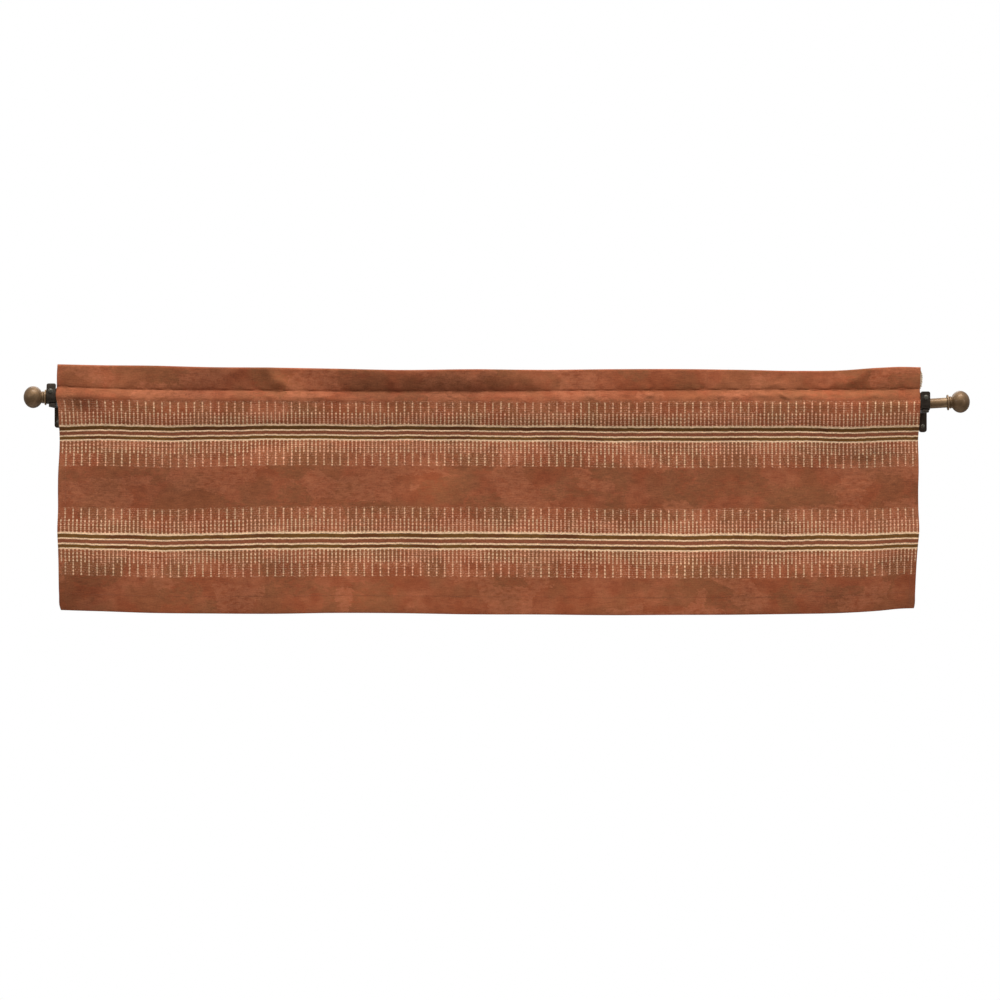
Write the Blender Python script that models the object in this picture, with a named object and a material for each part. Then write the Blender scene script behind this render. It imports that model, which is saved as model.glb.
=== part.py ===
"""Window valance on its rod.

A straight cloth panel with a standing heading and a sewn rod pocket hangs on a round
rod with ball finials. A cup bracket at each end carries the rod out from the wall.

Metres, +Z up. X runs along the rod, the front faces -Y and the wall is the plane Y = 0.
The origin is on the wall, midway between the brackets at the mean height of the rod.
"""
import math

import bmesh
import bpy
import numpy as np
from mathutils import Vector

MM = 0.001

# ---- Rod ------------------------------------------------------------------------
ROD_OUT = 72 * MM
ROD_RADIUS = 8 * MM
ROD_WALL = 1 * MM
ROD_LEFT = -703.2 * MM
ROD_RIGHT = 727.2 * MM
ROD_SIDES = 20

# The rod sags a little under the cloth and its right end lifts past the bracket.
ROD_COLUMNS = ("across", "height")
ROD_LINE = (
    (-742, 4.9),
    (-696, 4.1),
    (-350, -0.6),
    (0, -3.8),
    (350, -5.8),
    (660, -6.6),
    (693, -6.0),
    (727, -4.1),
    (765, -2.0),
)

# ---- Finials: turned collar, bead and ball --------------------------------------
FINIAL_SIDES = 22
BALL_RADIUS = 17.5 * MM
BALL_HALF_LENGTH = 15.2 * MM
BALL_CENTRE = 21 * MM
BALL_STEPS = 10
SPIGOT_RADIUS = 6.5 * MM
SPIGOT_LENGTH = 16 * MM
FINIAL_COLUMNS = ("along", "radius")
FINIAL_TURNING = (
    (0, 12.1),
    (0.5, 12.4),
    (2.0, 12.4),
    (2.5, 11.6),
    (2.7, 8.8),
    (3.8, 8.8),
    (4.3, 9.5),
    (5.4, 9.9),
    (6.5, 9.5),
    (7.0, 8.9),
)

# ---- Brackets -------------------------------------------------------------------
BRACKET_COLUMNS = ("side", "cup_centre", "cup_above", "plate_below", "arm_offset", "arm_bottom")
BRACKETS = (
    ("left", -696.0, 21.0, 47, 2.5, -16.5),
    ("right", 693.2, 19.4, 44, -0.6, -14.0),
)
CUP_WIDTH = 13.2 * MM
CUP_WALL = 2 * MM
CUP_CLEARANCE = 0.5 * MM
CUP_BACK_ABOVE = 15 * MM
CUP_CORNER = 1.6 * MM
CUP_ARC_STEPS = 10
ARM_WIDTH = 11 * MM
ARM_TOP = -9.2 * MM
ARM_FRONT = 7.5 * MM
ARM_EDGE = 1 * MM
PLATE_WIDTH = 13 * MM
PLATE_OFFSET = 3.6 * MM
PLATE_HEIGHT = 64 * MM
PLATE_THICKNESS = 2.6 * MM
PLATE_CORNER = 4.5 * MM

# ---- Screws ---------------------------------------------------------------------
SCREW_SIDES = 12
DOME_STEPS = 3
SCREW_HOLE_GAP = 0.3 * MM
SCREW_HEAD_GAP = 0.35 * MM
CUP_SCREW_ABOVE = 10.2 * MM
CUP_SCREW_RADIUS = 1.5 * MM
CUP_SCREW_HEAD = 3.5 * MM
CUP_SCREW_DOME = 1.6 * MM
CUP_SCREW_LENGTH = 19.5 * MM
WALL_SCREW_FROM_END = 9.6 * MM
WALL_SCREW_RADIUS = 1.8 * MM
WALL_SCREW_HEAD = 3.2 * MM
WALL_SCREW_DOME = 1.6 * MM

# ---- Cloth ----------------------------------------------------------------------
CLOTH_WIDTH = 1372 * MM
CLOTH_THICKNESS = 1.6 * MM
HEM_THICKNESS = 2.6 * MM
BOTTOM_HEM = 30 * MM
SIDE_HEM = 14 * MM
HEM_STEP = 3 * MM
ROD_EASE = 0.6 * MM
SEAM_FORWARD = 2 * MM
EDGE_REACH = 45 * MM
CURL_REACH = 24 * MM
HEM_TURN = 60 * MM
HANG_START = 10 * MM
HANG_FULL = 230 * MM
ROD_ZONE_TOP = 41 * MM
ROD_ZONE_FOOT = 68 * MM
ROD_ZONE_ROWS = 7
LONGEST_GAP = 46 * MM
SHORTEST_GAP = 9 * MM
STEEPEST = 1.25

# Heights of the sheet's rows at the middle, with the distance down the cloth.
DOWN_COLUMNS = ("row", "down", "height")
DOWN = (
    ("top", 0, 48.3),
    ("heading_seam", 34, 16.5),
    ("upper_band_top", 52.6, -0.5),
    ("upper_first_line", 93.4, -40.7),
    ("pocket_seam", 100.1, -46.9),
    ("upper_last_line", 118.4, -63.7),
    ("upper_band_foot", 159.2, -103.0),
    ("lower_band_top", 228.0, -171.6),
    ("lower_first_line", 268.8, -212.3),
    ("lower_last_line", 293.8, -237.4),
    ("lower_band_foot", 334.6, -278.2),
    ("hem", 395.5, -339.4),
)

# Heights of five of those rows across the cloth, and how far the hem turns back.
HANG_ROWS = ("top", "heading_seam", "upper_first_line", "lower_first_line", "hem")
HANG_COLUMNS = ("across", "top", "heading_seam", "upper_first_line", "lower_first_line", "hem",
                "hem_back")
HANG = (
    (-682, 56.1, 22.2, -40.8, -210.7, -333.4, 4),
    (-618, 54.9, 19.2, -39.4, -212.1, -335.1, 3),
    (-539, 54.3, 17.2, -41.4, -213.5, -338.2, 1),
    (-444, 51.6, 16.6, -40.5, -213.1, -339.2, 0),
    (-348, 51.0, 15.9, -39.7, -210.8, -339.5, 0),
    (-253, 49.4, 14.2, -39.7, -210.2, -338.2, 0),
    (-142, 46.8, 14.2, -40.5, -210.2, -338.7, 0),
    (-30, 48.0, 14.2, -40.8, -210.4, -340.4, 0),
    (81, 47.2, 14.7, -42.0, -211.3, -340.7, 0),
    (192, 48.3, 16.0, -42.2, -213.0, -341.8, 0),
    (303, 48.4, 16.5, -42.4, -213.9, -341.2, 0),
    (399, 47.2, 17.2, -42.3, -213.4, -340.9, 0),
    (478, 45.5, 17.4, -42.5, -214.0, -340.1, 1),
    (557, 46.1, 17.4, -43.6, -213.5, -337.4, 1),
    (621, 50.7, 17.8, -42.2, -212.6, -333.5, 2),
    (653, 52.1, 18.2, -41.3, -211.1, -331.3, 3),
    (683, 51.5, 18.5, -40.8, -210.4, -330.1, 4),
)

# How far the side edges stand in (+) or out (-) down the cloth, and curl back.
SIDE_COLUMNS = ("down", "left_in", "right_in", "left_back", "right_back")
SIDES = (
    (0, 0.4, 2.0, 0, 0),
    (14, -0.6, 1.8, 0, 0),
    (30, -0.8, 2.2, 0, 0),
    (50, -1.2, 2.7, 0, 0),
    (62, 1.2, 2.9, 0, 0),
    (80, 2.6, 2.9, 0, 0),
    (100, 2.9, 3.2, 1, 1),
    (118, 3.0, 4.0, 2, 2),
    (145, 2.4, 3.6, 1, 1),
    (168, 1.4, 3.6, 0, 0),
    (200, 1.0, 4.2, 0, 1),
    (230, 1.2, 4.6, 1, 1),
    (268, 0.1, 3.8, 0, 1),
    (294, 1.1, 4.9, 1, 3),
    (318, 1.6, 6.3, 2, 5),
    (340, 1.7, 7.0, 3, 8),
    (370, 1.9, 7.6, 5, 11),
    (395.5, 2.9, 8.0, 8, 14),
)

# Lean of the standing heading: how far forward its middle and its top edge stand.
LEAN_COLUMNS = ("across", "middle", "top")
HEADING_LEAN = (
    (-686, 0.8, 2.0),
    (-655, 0.4, 1.2),
    (-618, -0.8, -0.2),
    (-560, 1.2, 2.2),
    (-505, 2.2, 3.4),
    (-466, 4.0, 5.2),
    (-428, 3.0, 6.2),
    (-390, 2.6, 5.8),
    (-351, 1.8, 3.6),
    (-300, 0.0, 1.6),
    (-250, 2.2, 3.8),
    (-199, 5.0, 6.4),
    (-122, 6.2, 7.6),
    (-60, 5.8, 7.4),
    (0, 5.2, 6.4),
    (40, 4.6, 4.6),
    (70, 4.2, 3.8),
    (84, 1.2, 0.8),
    (106, 0.4, 0.4),
    (182, -0.2, -0.8),
    (258, 0.4, 0.2),
    (300, 1.4, 1.2),
    (335, 1.2, 0.6),
    (380, 0.0, -0.6),
    (430, -1.0, -1.6),
    (500, -0.8, -1.8),
    (545, 0.2, -1.4),
    (575, 1.6, 0.0),
    (602, 2.2, 1.2),
    (640, 2.0, 1.8),
    (672, 1.2, 0.8),
    (686, 0.2, -0.6),
)

# Creases of the heading: where each one crosses the seam and the top edge, its half width,
# how far forward it stands, and the share of the heading's height over which it grows.
FOLD_COLUMNS = ("at_seam", "at_top", "half_width", "forward", "share")
HEADING_FOLDS = (
    (-655, -650, 40, 1.5, 1.0),
    (-334, -352, 11, 4.5, 0.4),
    (-34, -12, 10, 3.5, 0.5),
    (372, 372, 10, -2.5, 1.0),
    (474, 478, 20, -3.5, 0.7),
    (490, 500, 12, 3.0, 1.0),
    (560, 604, 16, 2.5, 0.5),
)

# Broad soft waves of the hanging cloth below the pocket.
WAVE_COLUMNS = ("at_pocket", "at_hem", "half_width", "forward")
WAVES = (
    (-600, -622, 64, 4.0),
    (-478, -462, 76, -3.0),
    (-318, -330, 70, 3.5),
    (-150, -138, 66, -3.0),
    (8, 24, 84, 4.0),
    (176, 158, 70, -2.5),
    (318, 336, 76, 4.0),
    (470, 462, 60, -3.0),
    (600, 592, 52, 3.5),
)

# ---- Cream lining behind the heading and the rod pocket -------------------------
LINING_THICKNESS = 1.2 * MM
LINING_BEHIND = 2.8 * MM
LINING_TOP = 4 * MM
LINING_FOOT = 110 * MM
LINING_LEFT_IN = 4 * MM
LINING_COLUMNS = ("down", "right_out")
LINING_EDGE = (
    (4, 1.4),
    (7, 3.6),
    (12, 4.2),
    (18, 3.3),
    (24, 2.2),
    (29, 0.4),
    (34, -2.6),
    (60, -3.2),
    (110, -3.2),
)

# ---- Materials: colour, roughness, metallic -------------------------------------
MATERIAL_COLUMNS = ("slot", "colour", "roughness", "metallic")
MATERIALS = (
    ("face_cloth", (0.283, 0.085, 0.034), 0.85, 0.0),
    ("cream_lining", (0.72, 0.58, 0.41), 0.9, 0.0),
    ("bronze", (0.19, 0.095, 0.055), 0.38, 0.9),
    ("black_steel", (0.022, 0.022, 0.024), 0.5, 0.4),
    ("dark_screw", (0.07, 0.066, 0.06), 0.42, 0.8),
)


# ---- Reading tables -------------------------------------------------------------
def column(table, names, name):
    """One named column of a table as an array."""
    place = names.index(name)
    return np.array([row[place] for row in table], dtype=float)


def named_rows(table, names):
    """A table's rows with their values by name."""
    return [dict(zip(names, row)) for row in table]


def curve(table, names, key, value, at):
    """Smooth curve through a table's rows, in metres, read at the positions given."""
    x = column(table, names, key) * MM
    y = column(table, names, value) * MM
    slope = np.gradient(y, x)
    at = np.clip(np.asarray(at, dtype=float), x[0], x[-1])
    i = np.clip(np.searchsorted(x, at, side="right") - 1, 0, len(x) - 2)
    gap = x[i + 1] - x[i]
    t = (at - x[i]) / gap
    start = (1 + 2 * t) * (1 - t) ** 2 * y[i] + t * (1 - t) ** 2 * gap * slope[i]
    end = t * t * (3 - 2 * t) * y[i + 1] - t * t * (1 - t) * gap * slope[i + 1]
    return start + end


def ramp(value, low, high):
    """Soft step from 0 at low to 1 at high."""
    t = np.clip((value - low) / (high - low), 0, 1)
    return t * t * (3 - 2 * t)


def bump(distance):
    """Soft hill, 1 in the middle and near 0 from two half widths out."""
    return np.exp(-distance * distance)


def row_down(name):
    """Distance of a named row down the cloth."""
    for row in DOWN:
        if row[0] == name:
            return row[1] * MM
    raise KeyError(name)


def rod_height(across):
    """Height of the rod's axis."""
    return curve(ROD_LINE, ROD_COLUMNS, "across", "height", across)


# ---- The hanging form -----------------------------------------------------------
def cloth_height(across, down):
    """Height of a point of the cloth: the mean row height and its rise and fall across."""
    mean = curve(DOWN, DOWN_COLUMNS, "down", "height", down)
    stops = np.array([row_down(name) for name in HANG_ROWS])
    height = mean
    for place, name in enumerate(HANG_ROWS):
        share = np.interp(down, stops, np.eye(len(stops))[place])
        row_mean = curve(DOWN, DOWN_COLUMNS, "down", "height", stops[place])
        height = height + share * (curve(HANG, HANG_COLUMNS, "across", name, across) - row_mean)
    return height


def cloth_across(flat, down):
    """Place across of a point that lies flat across and down the cloth."""
    left = curve(SIDES, SIDE_COLUMNS, "down", "left_in", down)
    right = curve(SIDES, SIDE_COLUMNS, "down", "right_in", down)
    from_left = np.maximum(flat + CLOTH_WIDTH / 2, 0)
    from_right = np.maximum(CLOTH_WIDTH / 2 - flat, 0)
    return flat + left * np.exp(-from_left / EDGE_REACH) - right * np.exp(-from_right / EDGE_REACH)


def taut(height, upper, lower, forward, radius):
    """Cloth drawn round a rod between two seams.

    Heights are above the rod's axis. The cloth runs straight from each seam, which stands
    forward of the axis, to where it touches the circle.
    """
    upper_turn = np.arctan2(forward, upper) + np.arccos(radius / np.hypot(upper, forward))
    lower_turn = np.arctan2(forward, lower) - np.arccos(radius / np.hypot(lower, forward))
    from_upper = (radius - height * np.cos(upper_turn)) / np.sin(upper_turn)
    from_lower = (radius - height * np.cos(lower_turn)) / np.sin(lower_turn)
    round_rod = np.sqrt(np.maximum(radius * radius - height * height, 0))
    above = height > radius * np.cos(upper_turn)
    below = height < radius * np.cos(lower_turn)
    return np.where(above, from_upper, np.where(below, from_lower, round_rod))


def heading_forward(flat, rise):
    """How far the heading leans forward; rise is 0 at the seam and 1 at the top edge."""
    middle = curve(HEADING_LEAN, LEAN_COLUMNS, "across", "middle", flat)
    top = curve(HEADING_LEAN, LEAN_COLUMNS, "across", "top", flat)
    total = middle * 4 * rise * (1 - rise) + top * rise * (2 * rise - 1)
    for fold in named_rows(HEADING_FOLDS, FOLD_COLUMNS):
        centre = (fold["at_seam"] + (fold["at_top"] - fold["at_seam"]) * rise) * MM
        grown = fold["forward"] * MM * ramp(rise, 0, fold["share"])
        total = total + grown * bump((flat - centre) / (fold["half_width"] * MM))
    return total


def hanging_forward(flat, down):
    """Waves of the cloth below the pocket, and its turned-back hem and side edges."""
    pocket = row_down("pocket_seam")
    hem = row_down("hem")
    along = np.clip((down - pocket) / (hem - pocket), 0, 1)
    grown = ramp(down, pocket + HANG_START, pocket + HANG_FULL)
    total = np.zeros_like(flat)
    for wave in named_rows(WAVES, WAVE_COLUMNS):
        centre = (wave["at_pocket"] + (wave["at_hem"] - wave["at_pocket"]) * along) * MM
        hill = bump((flat - centre) / (wave["half_width"] * MM))
        total = total + wave["forward"] * MM * grown * hill
    turned = curve(HANG, HANG_COLUMNS, "across", "hem_back", flat)
    total = total - turned * np.clip((down - hem + HEM_TURN) / HEM_TURN, 0, 1) ** 2
    left = curve(SIDES, SIDE_COLUMNS, "down", "left_back", down)
    right = curve(SIDES, SIDE_COLUMNS, "down", "right_back", down)
    from_left = np.maximum(flat + CLOTH_WIDTH / 2, 0)
    from_right = np.maximum(CLOTH_WIDTH / 2 - flat, 0)
    return total - left * np.exp(-from_left / CURL_REACH) - right * np.exp(-from_right / CURL_REACH)


def seam_heights(across):
    """Heights of the heading seam and the pocket seam above the rod's axis."""
    rod = rod_height(across)
    upper = cloth_height(across, row_down("heading_seam")) - rod
    lower = cloth_height(across, row_down("pocket_seam")) - rod
    return upper, lower


def face_point(flat, down):
    """Front surface of the valance's face cloth."""
    across = cloth_across(flat, down)
    height = cloth_height(across, down)
    upper, lower = seam_heights(across)
    above_rod = height - rod_height(across)
    seam = row_down("heading_seam")
    pocket = row_down("pocket_seam")
    heading = SEAM_FORWARD + heading_forward(flat, np.clip((seam - down) / seam, 0, 1))
    radius = ROD_RADIUS + ROD_EASE + CLOTH_THICKNESS
    over_rod = taut(above_rod, upper, lower, SEAM_FORWARD, radius)
    hanging = SEAM_FORWARD + hanging_forward(flat, down)
    forward = np.where(down < seam, heading, np.where(down < pocket, over_rod, hanging))
    return np.stack([across, -ROD_OUT - forward, height], axis=-1)


def lining_point(flat, down):
    """Front surface of the lining: against the face, but behind the rod in the pocket."""
    point = face_point(flat, down)
    across = point[..., 0]
    upper, lower = seam_heights(across)
    above_rod = point[..., 2] - rod_height(across)
    behind_face = point[..., 1] + LINING_BEHIND
    back = LINING_BEHIND - SEAM_FORWARD
    behind_rod = -ROD_OUT + taut(above_rod, upper, lower, back, ROD_RADIUS + ROD_EASE)
    in_pocket = (down > row_down("heading_seam")) & (down < row_down("pocket_seam"))
    point[..., 1] = np.where(in_pocket, behind_rod, behind_face)
    return point


def face_thickness(flat, down):
    """Cloth thickness, greater where the side and bottom hems are turned in."""
    side = ramp(np.abs(flat), CLOTH_WIDTH / 2 - SIDE_HEM - HEM_STEP, CLOTH_WIDTH / 2 - SIDE_HEM)
    side = side * ramp(down, row_down("pocket_seam"), row_down("pocket_seam") + HEM_STEP)
    foot = row_down("hem") - BOTTOM_HEM
    hem = np.maximum(side, ramp(down, foot - HEM_STEP, foot))
    return CLOTH_THICKNESS + (HEM_THICKNESS - CLOTH_THICKNESS) * hem


# ---- Making solids --------------------------------------------------------------
def material(slot):
    """The material of a slot, made from its row of the table."""
    found = bpy.data.materials.get(slot)
    if found:
        return found
    row = next(entry for entry in named_rows(MATERIALS, MATERIAL_COLUMNS) if entry["slot"] == slot)
    made = bpy.data.materials.new(slot)
    made.use_nodes = True
    surface = made.node_tree.nodes["Principled BSDF"]
    surface.inputs["Base Color"].default_value = (*row["colour"], 1)
    surface.inputs["Roughness"].default_value = row["roughness"]
    surface.inputs["Metallic"].default_value = row["metallic"]
    made.diffuse_color = (*row["colour"], 1)
    return made


def new_object(name, slot, points, faces, smooth=True):
    """An object of one closed mesh with its normals outward."""
    mesh = bpy.data.meshes.new(name)
    mesh.from_pydata([tuple(map(float, point)) for point in points], [], faces)
    shape = bmesh.new()
    shape.from_mesh(mesh)
    bmesh.ops.recalc_face_normals(shape, faces=shape.faces)
    for face in shape.faces:
        face.smooth = smooth
    shape.to_mesh(mesh)
    shape.free()
    mesh.materials.append(material(slot))
    made = bpy.data.objects.new(name, mesh)
    bpy.context.collection.objects.link(made)
    return made


def sheet(name, slot, surface, thickness, flat, down):
    """A closed sheet: its front surface over a grid and its back one thickness behind.

    The back lies straight behind the front, further where the cloth slopes.
    """
    small = 0.2 * MM
    front = surface(flat, down)
    along = surface(flat + small, down) - surface(flat - small, down)
    below = surface(flat, down + small) - surface(flat, down - small)
    outward = np.cross(below, along)
    slope = np.linalg.norm(outward, axis=-1) / np.abs(outward[..., 1])
    back = front.copy()
    back[..., 1] += thickness(flat, down) * np.minimum(slope, STEEPEST)
    rows, columns = flat.shape
    count = rows * columns
    points = np.concatenate([front.reshape(-1, 3), back.reshape(-1, 3)])
    faces = []
    for row in range(rows - 1):
        for place in range(columns - 1):
            a = row * columns + place
            for corners in ((a, a + 1, a + 1 + columns), (a, a + 1 + columns, a + columns)):
                faces.append(corners)
                faces.append(tuple(corner + count for corner in reversed(corners)))
    rim = [place for place in range(columns)]
    rim += [row * columns + columns - 1 for row in range(1, rows)]
    rim += [(rows - 1) * columns + place for place in range(columns - 2, -1, -1)]
    rim += [row * columns for row in range(rows - 2, 0, -1)]
    for here, there in zip(rim, rim[1:] + rim[:1]):
        faces.append((here, here + count, there + count, there))
    return new_object(name, slot, points, faces)


def rings_to_solid(name, slot, rings, closed_along=False):
    """A closed body over rings of points, capped at its ends or joined end to end."""
    sides = len(rings[0])
    points = [point for ring in rings for point in ring]
    faces = []
    last = len(rings) if closed_along else len(rings) - 1
    for ring in range(last):
        following = (ring + 1) % len(rings)
        for side in range(sides):
            beside = (side + 1) % sides
            faces.append((ring * sides + side, ring * sides + beside,
                          following * sides + beside, following * sides + side))
    if not closed_along:
        faces.append(tuple(range(sides)))
        faces.append(tuple(range((len(rings) - 1) * sides, len(rings) * sides)))
    return new_object(name, slot, points, faces)


def ring_points(centre, tilt, radius, sides):
    """Points of a circle about an axis that runs along X and rises at the tilt."""
    points = []
    for side in range(sides):
        turn = 2 * math.pi * side / sides
        upright = radius * math.cos(turn)
        points.append(Vector((centre[0] - upright * math.sin(tilt),
                              centre[1] + radius * math.sin(turn),
                              centre[2] + upright * math.cos(tilt))))
    return points


def rod_tilt(across):
    """Angle at which the rod's axis rises along X."""
    reach = 4 * MM
    rise = float(rod_height(across + reach)) - float(rod_height(across - reach))
    return math.atan2(rise, 2 * reach)


def rod():
    """Tube of the rod, with open ends, along its sagging line."""
    marks = column(ROD_LINE, ROD_COLUMNS, "across") * MM
    between = (marks[1:] + marks[:-1]) / 2
    inside = [mark for mark in (*marks, *between) if ROD_LEFT < mark < ROD_RIGHT]
    stops = sorted([ROD_LEFT, *inside, ROD_RIGHT])
    outer = []
    inner = []
    for across in stops:
        centre = (across, -ROD_OUT, float(rod_height(across)))
        outer.append(ring_points(centre, rod_tilt(across), ROD_RADIUS, ROD_SIDES))
        inner.append(ring_points(centre, rod_tilt(across), ROD_RADIUS - ROD_WALL, ROD_SIDES))
    return rings_to_solid("rod", "bronze", outer + inner[::-1], closed_along=True)


def finial(side):
    """Turned finial whose spigot sits in the rod's end."""
    outward = -1 if side == "left" else 1
    end = ROD_LEFT if side == "left" else ROD_RIGHT
    start = end + outward * 0.3 * MM
    tilt = rod_tilt(end)
    profile = [(-SPIGOT_LENGTH, SPIGOT_RADIUS), (0, SPIGOT_RADIUS)]
    turning = named_rows(FINIAL_TURNING, FINIAL_COLUMNS)
    profile += [(stop["along"] * MM, stop["radius"] * MM) for stop in turning]
    neck = turning[-1]["radius"] * MM
    first = math.acos(-math.sqrt(1 - (neck / BALL_RADIUS) ** 2))
    for step in range(BALL_STEPS):
        turn = first * (1 - (step + 0.35) / (BALL_STEPS - 0.1))
        profile.append((BALL_CENTRE + BALL_HALF_LENGTH * math.cos(turn),
                        BALL_RADIUS * math.sin(turn)))
    rings = []
    for along, radius in profile:
        centre = (start + outward * along * math.cos(tilt), -ROD_OUT,
                  float(rod_height(end)) + outward * along * math.sin(tilt))
        rings.append(ring_points(centre, tilt, radius, FINIAL_SIDES))
    return rings_to_solid("finial_" + side, "bronze", rings)


def apply_modifiers(made):
    """Turn an object's modifiers into its own mesh."""
    bpy.context.view_layer.update()
    shaped = made.evaluated_get(bpy.context.evaluated_depsgraph_get())
    mesh = bpy.data.meshes.new_from_object(shaped)
    made.modifiers.clear()
    made.data = mesh


def block(name, low, high, edge=0.0, edge_axis=None):
    """A box between two corners, its edges rounded all round or along one axis only."""
    points = [(x, y, z) for x in (low[0], high[0]) for y in (low[1], high[1])
              for z in (low[2], high[2])]
    faces = [(0, 1, 3, 2), (4, 6, 7, 5), (0, 4, 5, 1), (2, 3, 7, 6), (0, 2, 6, 4), (1, 5, 7, 3)]
    made = new_object(name, "black_steel", points, faces, smooth=False)
    if edge > 0:
        shape = bmesh.new()
        shape.from_mesh(made.data)
        picked = [line for line in shape.edges
                  if edge_axis is None or abs(line.calc_length() - (high[edge_axis] - low[edge_axis]))
                  < 0.01 * MM]
        bmesh.ops.bevel(shape, geom=picked, offset=edge, offset_type="OFFSET", segments=3,
                        profile=0.5, affect="EDGES", clamp_overlap=True)
        shape.to_mesh(made.data)
        shape.free()
    return made


def cup_strip(name, left, right, axis, front_above):
    """Bent strip of the cup: a U round the rod with a taller front wall."""
    inner = ROD_RADIUS + CUP_CLEARANCE
    outer = inner + CUP_WALL
    outline = [(-outer, front_above)]
    for step in range(CUP_ARC_STEPS + 1):
        turn = math.pi * step / CUP_ARC_STEPS
        outline.append((-outer * math.cos(turn), -outer * math.sin(turn)))
    outline += [(outer, CUP_BACK_ABOVE), (inner, CUP_BACK_ABOVE)]
    for step in range(CUP_ARC_STEPS + 1):
        turn = math.pi * (1 - step / CUP_ARC_STEPS)
        outline.append((-inner * math.cos(turn), -inner * math.sin(turn)))
    outline.append((-inner, front_above))
    rings = [[(across, axis[1] + y, axis[2] + z) for y, z in outline] for across in (left, right)]
    made = rings_to_solid(name, "black_steel", rings)
    shape = bmesh.new()
    shape.from_mesh(made.data)
    top = axis[2] + CUP_BACK_ABOVE - 1 * MM
    corners = [line for line in shape.edges
               if min(v.co.z for v in line.verts) > top
               and abs(line.verts[0].co.x - line.verts[1].co.x) < 0.01 * MM
               and abs(line.calc_length() - CUP_WALL) < 0.01 * MM]
    bmesh.ops.bevel(shape, geom=corners, offset=CUP_CORNER, offset_type="OFFSET", segments=3,
                    profile=0.5, affect="EDGES", clamp_overlap=True)
    for face in shape.faces:
        face.smooth = False
    shape.to_mesh(made.data)
    shape.free()
    return made


def bore(name, centre, radius, length):
    """Cutter for a round hole along Y."""
    rings = []
    for end in (-length / 2, length / 2):
        rings.append([(centre[0] + radius * math.cos(2 * math.pi * side / SCREW_SIDES),
                       centre[1] + end,
                       centre[2] + radius * math.sin(2 * math.pi * side / SCREW_SIDES))
                      for side in range(SCREW_SIDES)])
    made = rings_to_solid(name, "black_steel", rings)
    made.hide_render = True
    made.display_type = "WIRE"
    return made


def combine(made, other, operation):
    """Boolean of two objects, the second then removed."""
    step = made.modifiers.new("form", "BOOLEAN")
    step.operation = operation
    step.solver = "EXACT"
    step.object = other
    apply_modifiers(made)
    bpy.data.objects.remove(other)


def wall_screw_heights(row, axis_height):
    """Heights of the upper and lower wall screws of a bracket."""
    foot = axis_height - row["plate_below"] * MM
    return {"upper": foot + PLATE_HEIGHT - WALL_SCREW_FROM_END, "lower": foot + WALL_SCREW_FROM_END}


def bracket(row):
    """One steel bracket: cup, arm and wall plate fused, with its screw holes."""
    centre = row["cup_centre"] * MM
    axis = (centre, -ROD_OUT, float(rod_height(centre)))
    made = cup_strip("bracket_" + row["side"], centre - CUP_WIDTH / 2, centre + CUP_WIDTH / 2, axis,
                     row["cup_above"] * MM)
    arm_centre = centre + row["arm_offset"] * MM
    arm = block("arm", (arm_centre - ARM_WIDTH / 2, -ROD_OUT - ARM_FRONT, axis[2] + row["arm_bottom"] * MM),
                (arm_centre + ARM_WIDTH / 2, -PLATE_THICKNESS / 2, axis[2] + ARM_TOP), ARM_EDGE)
    combine(made, arm, "UNION")
    plate_centre = centre + PLATE_OFFSET
    foot = axis[2] - row["plate_below"] * MM
    plate = block("plate", (plate_centre - PLATE_WIDTH / 2, -PLATE_THICKNESS, foot),
                  (plate_centre + PLATE_WIDTH / 2, 0, foot + PLATE_HEIGHT), PLATE_CORNER, 1)
    combine(made, plate, "UNION")
    cup_hole = bore("cup_hole", (centre, -ROD_OUT, axis[2] + CUP_SCREW_ABOVE),
                    CUP_SCREW_RADIUS + SCREW_HOLE_GAP, 3 * ROD_RADIUS)
    combine(made, cup_hole, "DIFFERENCE")
    for height in wall_screw_heights(row, axis[2]).values():
        hole = bore("plate_hole", (plate_centre, 0, height),
                    WALL_SCREW_RADIUS + SCREW_HOLE_GAP, 4 * PLATE_THICKNESS)
        combine(made, hole, "DIFFERENCE")
    return made


def screw(name, head_seat, shank_end, head_radius, shank_radius, dome, across, height):
    """Round-headed screw along Y, its head towards the front."""
    profile = [(shank_end, shank_radius * 0.96), (shank_end - 0.3 * MM, shank_radius),
               (head_seat, shank_radius), (head_seat, head_radius)]
    for step in range(1, DOME_STEPS + 1):
        turn = math.pi / 2 * step / (DOME_STEPS + 1)
        profile.append((head_seat - dome * math.sin(turn), head_radius * math.cos(turn)))
    rings = []
    for depth, radius in profile:
        rings.append([(across + radius * math.cos(2 * math.pi * side / SCREW_SIDES), depth,
                       height + radius * math.sin(2 * math.pi * side / SCREW_SIDES))
                      for side in range(SCREW_SIDES)])
    return rings_to_solid(name, "dark_screw", rings)


def screws(row):
    """The screw across a bracket's cup and the two screws of its wall plate."""
    side = row["side"]
    centre = row["cup_centre"] * MM
    axis_height = float(rod_height(centre))
    cup_front = -ROD_OUT - ROD_RADIUS - CUP_CLEARANCE - CUP_WALL
    screw("cup_screw_" + side, cup_front - SCREW_HEAD_GAP, cup_front + CUP_SCREW_LENGTH,
          CUP_SCREW_HEAD, CUP_SCREW_RADIUS, CUP_SCREW_DOME, centre, axis_height + CUP_SCREW_ABOVE)
    for place, height in wall_screw_heights(row, axis_height).items():
        screw("wall_screw_" + side + "_" + place, -PLATE_THICKNESS - SCREW_HEAD_GAP, -0.3 * MM,
              WALL_SCREW_HEAD, WALL_SCREW_RADIUS, WALL_SCREW_DOME, centre + PLATE_OFFSET, height)


def stations(stops):
    """Places down the cloth: each stop is reached from the one before in its number of rows."""
    down = [stops[0][0]]
    for end, count in stops[1:]:
        down += list(np.linspace(down[-1], end, count + 1)[1:])
    return np.array(down)


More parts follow.
